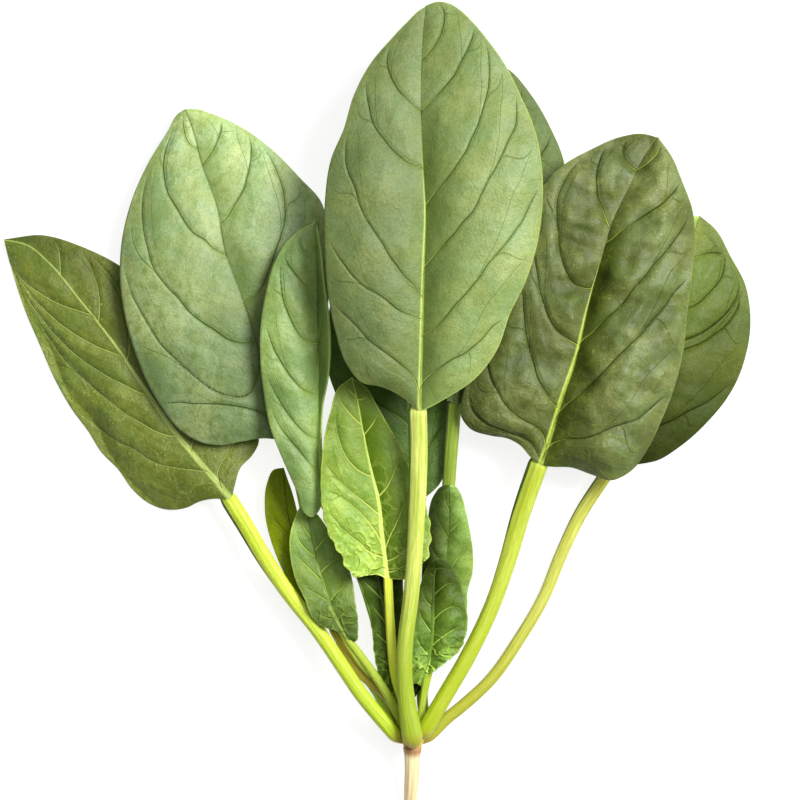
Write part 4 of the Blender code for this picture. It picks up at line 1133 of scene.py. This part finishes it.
# Painted shade: the tone is darker in the low pockets, the more so the deeper they are.
pocket_shade = sums(tree, "MULTIPLY_ADD", given["Pocket depth"], -0.12, 1.0)
painted_tone = times(tree, painted_tone, ramp(tree, given["Pockets"], 0.1, 0.5, pocket_shade, 1.0))
join(tree, blend(tree, 1.0, ribbed, painted_tone, "MULTIPLY"), out["Colour"])
sheltering = sums(tree, "MAXIMUM", valley_shade, times(tree, creases, 0.9), clamp=True)
open_sheen = sums(tree, "MULTIPLY_ADD", sheltering, -0.85, 1.0)
join(tree, times(tree, open_sheen, painted_tone), out["Sheen"])

# %% [markdown]
# The relief group adds up heights in millimetres: side veins sunk below the upper face, the small
# net sunk less, puckers and pockets between them, ruffles round a young leaf's base, and grain.

# %% Relief group
relief_group, given, out = new_group(
    "leaf_relief",
    {"Side veins": 0.0, "Branches": 0.0, "Near vein": 0.0, "Crease": 0.8, "Mottle": 0.5,
     "Net": 0.0, "Fine net": 0.0, "Grain": 0.5, "Pucker": 1.0, "Crinkle": 0.0, "Share": 0.5,
     "Pockets": 0.5, "Pocket depth": 0.4, "Ridges": 0.0},
    ("Height",),
)
tree = relief_group
sunk = times(tree, given["Side veins"], -0.35)
sunk = sums(tree, "MULTIPLY_ADD", given["Branches"], -0.14, sunk)
sloped = sums(tree, "MULTIPLY_ADD", given["Near vein"], -0.20, sunk)
height = times(tree, sloped, given["Crease"])
round_base = ramp(tree, given["Share"], 0.1, 0.5, given["Crinkle"], 0.0)
ruffles = times(tree, given["Ridges"], round_base)
height = sums(tree, "MULTIPLY_ADD", ruffles, 0.6, height)
height = sums(tree, "MULTIPLY_ADD", given["Pockets"], given["Pocket depth"], height)
for label, size in (("Net", -0.05), ("Fine net", -0.035), ("Mottle", 0.42)):
    wide = times(tree, given[label], given["Pucker"])
    height = sums(tree, "MULTIPLY_ADD", wide, size, height)
height = sums(tree, "MULTIPLY_ADD", given["Grain"], 0.10, height)
join(tree, height, out["Height"])


# %% [markdown]
# ## Leaf materials
#
# The leaf's skin shines softly where it is raised and hardly at all in its folds, and a little
# light passes through the tissue. One Principled shader can do all this, so each blade has its own
# material with its own greens on the shared groups.


# %% Leaf materials
def put(tree, group):
    node = tree.nodes.new("ShaderNodeGroup")
    node.node_tree = group
    return node


def start_material(name):
    made = bpy.data.materials.new(name)
    made.use_nodes = True
    return made, made.node_tree, made.node_tree.nodes["Principled BSDF"]


def place_of(tree):
    return tree.nodes.new("ShaderNodeTexCoord").outputs["Object"]


def bumped(tree, height, shader):
    """Relief given in millimetres."""
    node = tree.nodes.new("ShaderNodeBump")
    node.inputs["Distance"].default_value = MM
    node.inputs["Strength"].default_value = 1.0
    join(tree, height, node.inputs["Height"])
    tree.links.new(node.outputs["Normal"], shader.inputs["Normal"])


def let_light_in(shader, weight, radius, scale):
    shader.inputs["Subsurface Weight"].default_value = weight
    shader.inputs["Subsurface Radius"].default_value = radius
    shader.inputs["Subsurface Scale"].default_value = scale


def wire(tree, target, *sources):
    """Joins each input of target to the output that has its name on one of the sources."""
    for source in sources:
        for output in source.outputs:
            if output.name in target.inputs:
                join(tree, output, target.inputs[output.name])


def leaf_material(leaf):
    made, tree, shader = start_material(f"{leaf.name}_leaf")
    tissue, veins = put(tree, tissue_group), put(tree, vein_group)
    greens, relief = put(tree, greens_group), put(tree, relief_group)
    join(tree, place_of(tree), tissue.inputs["Place"])
    wire(tree, veins, tissue)
    wire(tree, greens, veins, tissue)
    wire(tree, relief, veins, tissue)
    looks = {
        "Vein width": leaf.vein_width, "Rib base": leaf.rib_line[0], "Rib tip": leaf.rib_line[1],
        "Mottling": leaf.mottling, "Fleck amount": leaf.painted_glints, "Net pale": leaf.net_pale,
        "Pale": leaf.pale, "Pale reach": leaf.pale_reach, "Rib sinks": leaf.rib_sinks,
        "Valley": leaf.valley_shade, "Valley reach": leaf.valley_reach, "Valley end": leaf.valley_end,
        "Rim": leaf.rim, "Crease": leaf.crease, "Pucker": leaf.pucker, "Crinkle": leaf.crinkle,
        "Pocket depth": leaf.pockets,
        **dict(zip(("Base left", "Base right", "Tip left", "Tip right"), leaf.painted_light_and_shade)),
        **dict(zip(("Shaded", "Lit", "Vein"), map(colour, leaf.greens))),
        **{name: kept(tree, name.lower()) for name in ("Phase", "Gap", "Across", "Edge", "Share")},
    }
    for node in (veins, greens, relief):
        for label, look in looks.items():
            if label in node.inputs:
                join(tree, look, node.inputs[label])
    join(tree, greens.outputs["Colour"], shader.inputs["Base Color"])
    bumped(tree, relief.outputs["Height"], shader)
    rough = ramp(tree, tissue.outputs["Mottle"], 0.3, 0.7, leaf.dullness + 0.07, leaf.dullness - 0.07)
    join(tree, rough, shader.inputs["Roughness"])
    join(tree, times(tree, greens.outputs["Sheen"], leaf.gloss), shader.inputs["Specular IOR Level"])
    let_light_in(shader, 0.12, (0.4, 1.0, 0.1), 0.0006)
    return made


for leaf in LEAVES:
    pieces[f"{leaf.name}_leaf_blade"].data.materials.append(leaf_material(leaf))
print("leaf materials:", len(LEAVES))

# %% [markdown]
# ## Stalk, crown and root materials
#
# Stalks and root are streaked lengthwise. A stretched texture would need unwrapping, so the noise
# is read on a long thin cylinder instead: round the stalk at full size and along it much reduced.

# %% Streak group
streak_group, given, out = new_group(
    "lengthwise_streaks",
    {"Turn x": 0.0, "Turn y": 0.0, "Length": 0.0, "Scale": 3.0},
    ("Streaks", "Fine streaks"),
)
tree = streak_group
spread = tree.nodes.new("ShaderNodeCombineXYZ")
join(tree, given["Turn x"], spread.inputs["X"])
join(tree, given["Turn y"], spread.inputs["Y"])
join(tree, times(tree, given["Length"], 0.02), spread.inputs["Z"])
join(tree, noise(tree, spread.outputs[0], given["Scale"], 3.0), out["Streaks"])
finer = times(tree, given["Scale"], 5.0)
join(tree, noise(tree, spread.outputs[0], finer, 2.0), out["Fine streaks"])


# %% Stalk material
def streaks_in(tree, scale):
    node = put(tree, streak_group)
    for label, name in (("Turn x", "turn_x"), ("Turn y", "turn_y"), ("Length", "length")):
        join(tree, kept(tree, name), node.inputs[label])
    node.inputs["Scale"].default_value = scale
    return node


SCAR = (0.42, 0.30, 0.05)  # the tan ends of the stalks at the crown


def stalk_material(name, pale, fresh, dull, wing_green, rib_green, groove_shade):
    made, tree, shader = start_material(name)
    streaks = streaks_in(tree, 2.2)
    share = kept(tree, "share")
    paler = ramp(tree, share, 0.1, 0.75, 0.15, 1.0)
    paler = times(tree, paler, ramp(tree, streaks.outputs["Streaks"], 0.3, 0.7, 0.3, 1.0))
    body = blend(tree, paler, colour(fresh), colour(pale))
    fine = ramp(tree, streaks.outputs["Fine streaks"], 0.45, 0.7, 0.0, 0.35)
    streaked = blend(tree, fine, body, colour(dull))
    scarred = blend(tree, ramp(tree, kept(tree, "length"), 0.5, 7.0, 0.85, 0.0), streaked, colour(SCAR))
    at_blade = blend(tree, ramp(tree, share, 0.98, 1.1), scarred, colour(rib_green))
    # Painted shade: towards the tip the midrib's top turns the dark colour of a groove.
    towards_tip = blend(tree, ramp(tree, share, 1.45, 1.7), at_blade, colour(groove_shade))
    winged = blend(tree, ramp(tree, kept(tree, "wing"), 0.25, 0.5), towards_tip, colour(wing_green))
    join(tree, winged, shader.inputs["Base Color"])
    height = times(tree, streaks.outputs["Streaks"], 0.35)
    height = sums(tree, "MULTIPLY_ADD", streaks.outputs["Fine streaks"], 0.12, height)
    bumped(tree, height, shader)
    shader.inputs["Roughness"].default_value = 0.42
    shader.inputs["Specular IOR Level"].default_value = 0.35
    let_light_in(shader, 0.25, (0.8, 1.0, 0.2), 0.0015)
    return made


# The groove colour is painted shade on the midrib towards the tip.
STALK_LOOKS = {  # pale, fresh, dull, wing, midrib, groove
    "front": ((0.84, 0.89, 0.24), (0.28, 0.40, 0.001), (0.18, 0.28, 0.001),
              (0.10, 0.19, 0.02), (0.50, 0.64, 0.10), (0.08, 0.13, 0.018)),
    "left": ((0.58, 0.72, 0.08), (0.34, 0.50, 0.012), (0.20, 0.33, 0.01),
             (0.06, 0.12, 0.02), (0.10, 0.17, 0.02), (0.07, 0.12, 0.012)),
    "far_left": ((0.72, 0.83, 0.08), (0.45, 0.60, 0.012), (0.28, 0.42, 0.006),
                 (0.08, 0.14, 0.02), (0.36, 0.50, 0.07), (0.20, 0.30, 0.03)),
    "right": ((0.52, 0.60, 0.08), (0.38, 0.47, 0.006), (0.24, 0.31, 0.004),
              (0.07, 0.13, 0.02), (0.50, 0.62, 0.10), (0.06, 0.09, 0.01)),
    "far_right": ((0.60, 0.62, 0.13), (0.36, 0.38, 0.012), (0.24, 0.20, 0.008),
                  (0.10, 0.15, 0.02), (0.30, 0.44, 0.08), (0.12, 0.18, 0.02)),
    "pale": ((0.92, 0.96, 0.12), (0.72, 0.84, 0.04), (0.50, 0.62, 0.02),
             (0.08, 0.14, 0.02), (0.66, 0.80, 0.18), (0.5, 0.66, 0.1)),
    "back": ((0.30, 0.40, 0.05), (0.18, 0.27, 0.02), (0.10, 0.16, 0.01),
             (0.07, 0.11, 0.03), (0.16, 0.28, 0.03), (0.06, 0.11, 0.012)),
    "low_far_left": ((0.50, 0.42, 0.03), (0.38, 0.30, 0.008), (0.22, 0.15, 0.004),
                     (0.10, 0.12, 0.02), (0.16, 0.22, 0.03), (0.06, 0.11, 0.012)),
    "other": ((0.48, 0.58, 0.05), (0.30, 0.42, 0.008), (0.18, 0.26, 0.005),
              (0.05, 0.11, 0.02), (0.16, 0.28, 0.03), (0.06, 0.11, 0.012)),
}
stalk_materials = {
    name: stalk_material(f"{name}_stalk_skin", *looks) for name, looks in STALK_LOOKS.items()
}
for leaf in LEAVES:
    chosen = stalk_materials.get(leaf.name, stalk_materials["other"])
    pieces[f"{leaf.name}_leaf_stalk"].data.materials.append(chosen)
print("stalk materials:", ", ".join(stalk_materials))


# %% Crown and root materials
def root_material(name, pale, deep, mark, collar):
    """Pale skin with lengthwise wrinkles, cross marks, and a browner collar at the crown."""
    made, tree, shader = start_material(name)
    streaks = streaks_in(tree, 2.0)
    patches = noise(tree, place_of(tree), 220.0, 4.0)
    body = blend(tree, ramp(tree, streaks.outputs["Streaks"], 0.35, 0.65), colour(pale), colour(deep))
    marked = blend(tree, ramp(tree, patches, 0.55, 0.75, 0.0, 0.6), body, colour(mark))
    length = kept(tree, "length")
    collared = blend(tree, ramp(tree, length, 1.0, 3.6, 0.85, 0.0), marked, colour(collar))
    join(tree, collared, shader.inputs["Base Color"])
    height = times(tree, streaks.outputs["Streaks"], 0.4)
    height = sums(tree, "MULTIPLY_ADD", patches, 0.25, height)
    bumped(tree, height, shader)
    shader.inputs["Roughness"].default_value = 0.6
    let_light_in(shader, 0.2, (1.0, 0.5, 0.3), 0.001)
    return made


pieces["root_stub"].data.materials.append(
    root_material(
        "root_skin", (0.88, 0.78, 0.44), (0.76, 0.56, 0.30), (0.52, 0.32, 0.15), (0.34, 0.13, 0.04)
    )
)
pieces["crown_knob"].data.materials.append(
    root_material(
        "crown_skin", (0.66, 0.57, 0.03), (0.42, 0.40, 0.02), (0.34, 0.24, 0.05), (0.36, 0.16, 0.05)
    )
)

# %% [markdown]
# ## Floor, light and camera
#
# The bunch lies on a white floor that glows a little, as on a light table, so that its shadows
# stay pale. The main light comes from the right and shapes the leaves, a broad one overhead gives
# their skin its sheen, and the sky fills the rest. The camera looks straight down from far up with
# a long lens, so that high leaves look hardly larger than low ones.

# %% Floor and light
WHITE = (1.0, 1.0, 1.0, 1.0)
LAMP_SIZE = 0.8
floor_mesh = grid("floor", 1, 1, 3.0)
floor = bpy.data.objects.new("floor", floor_mesh)
floor.location.z = -0.3 * MM  # just clear of the lowest leaves
bpy.context.scene.collection.objects.link(floor)
floor_material, _, floor_shader = start_material("floor_white")
for label, value in (
    ("Base Color", (0.26, 0.26, 0.26, 1.0)), ("Roughness", 0.9),
    ("Emission Color", WHITE), ("Emission Strength", 0.84),
):
    floor_shader.inputs[label].default_value = value
floor_mesh.materials.append(floor_material)
floor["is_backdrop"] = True


def area_light(name, place, power):
    """A round lamp aimed at the bunch."""
    lamp = bpy.data.lights.new(name, "AREA")
    lamp.energy = power
    lamp.shape = "DISK"
    lamp.size = LAMP_SIZE
    made = bpy.data.objects.new(name, lamp)
    made.location = place
    made.rotation_euler = (-Vector(place)).to_track_quat("-Z", "Y").to_euler()
    bpy.context.scene.collection.objects.link(made)


area_light("key", (0.80, 0.45, 1.25), 36.0)
area_light("overhead", (0.10, 0.45, 1.8), 8.0)
world = bpy.data.worlds.new("studio")
world.use_nodes = True
sky = world.node_tree.nodes["Background"]
sky.inputs["Color"].default_value = WHITE
sky.inputs["Strength"].default_value = 0.2
bpy.context.scene.world = world
bpy.context.scene.view_settings.view_transform = "Standard"
print("lights:", len(bpy.data.lights))

# %% Camera
CAMERA_HEIGHT = 2.4  # over the middle of the leaves
LEAVES_MIDDLE = 0.015
PICTURE_WIDTH = 0.256  # how much of that height the picture's width takes in
PICTURE_MIDDLE = (-3.5, 108.8)  # in the crown's frame
SENSOR = 36.0
camera_data = bpy.data.cameras.new("camera")
camera_data.sensor_width = SENSOR
camera_data.lens = SENSOR * CAMERA_HEIGHT / PICTURE_WIDTH
camera = bpy.data.objects.new("camera", camera_data)
camera.location = (
    (PLACE[0] + PICTURE_MIDDLE[0]) * MM,
    (PLACE[1] + PICTURE_MIDDLE[1]) * MM,
    CAMERA_HEIGHT + LEAVES_MIDDLE,
)
bpy.context.scene.collection.objects.link(camera)
bpy.context.scene.camera = camera
print("camera:", round(camera_data.lens), "mm lens,", CAMERA_HEIGHT, "m up")

# %% [markdown]
# ## Print the size
#
# The dressed bunch should be as large as the solids, but for a few tenths of a millimetre.

# %% Size and finish
new_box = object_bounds()
for label, box in (("solids", CAD_BOX), ("dressed", new_box)):
    print(label, [round((high - low) / MM, 1) for low, high in zip(*box)], "mm")
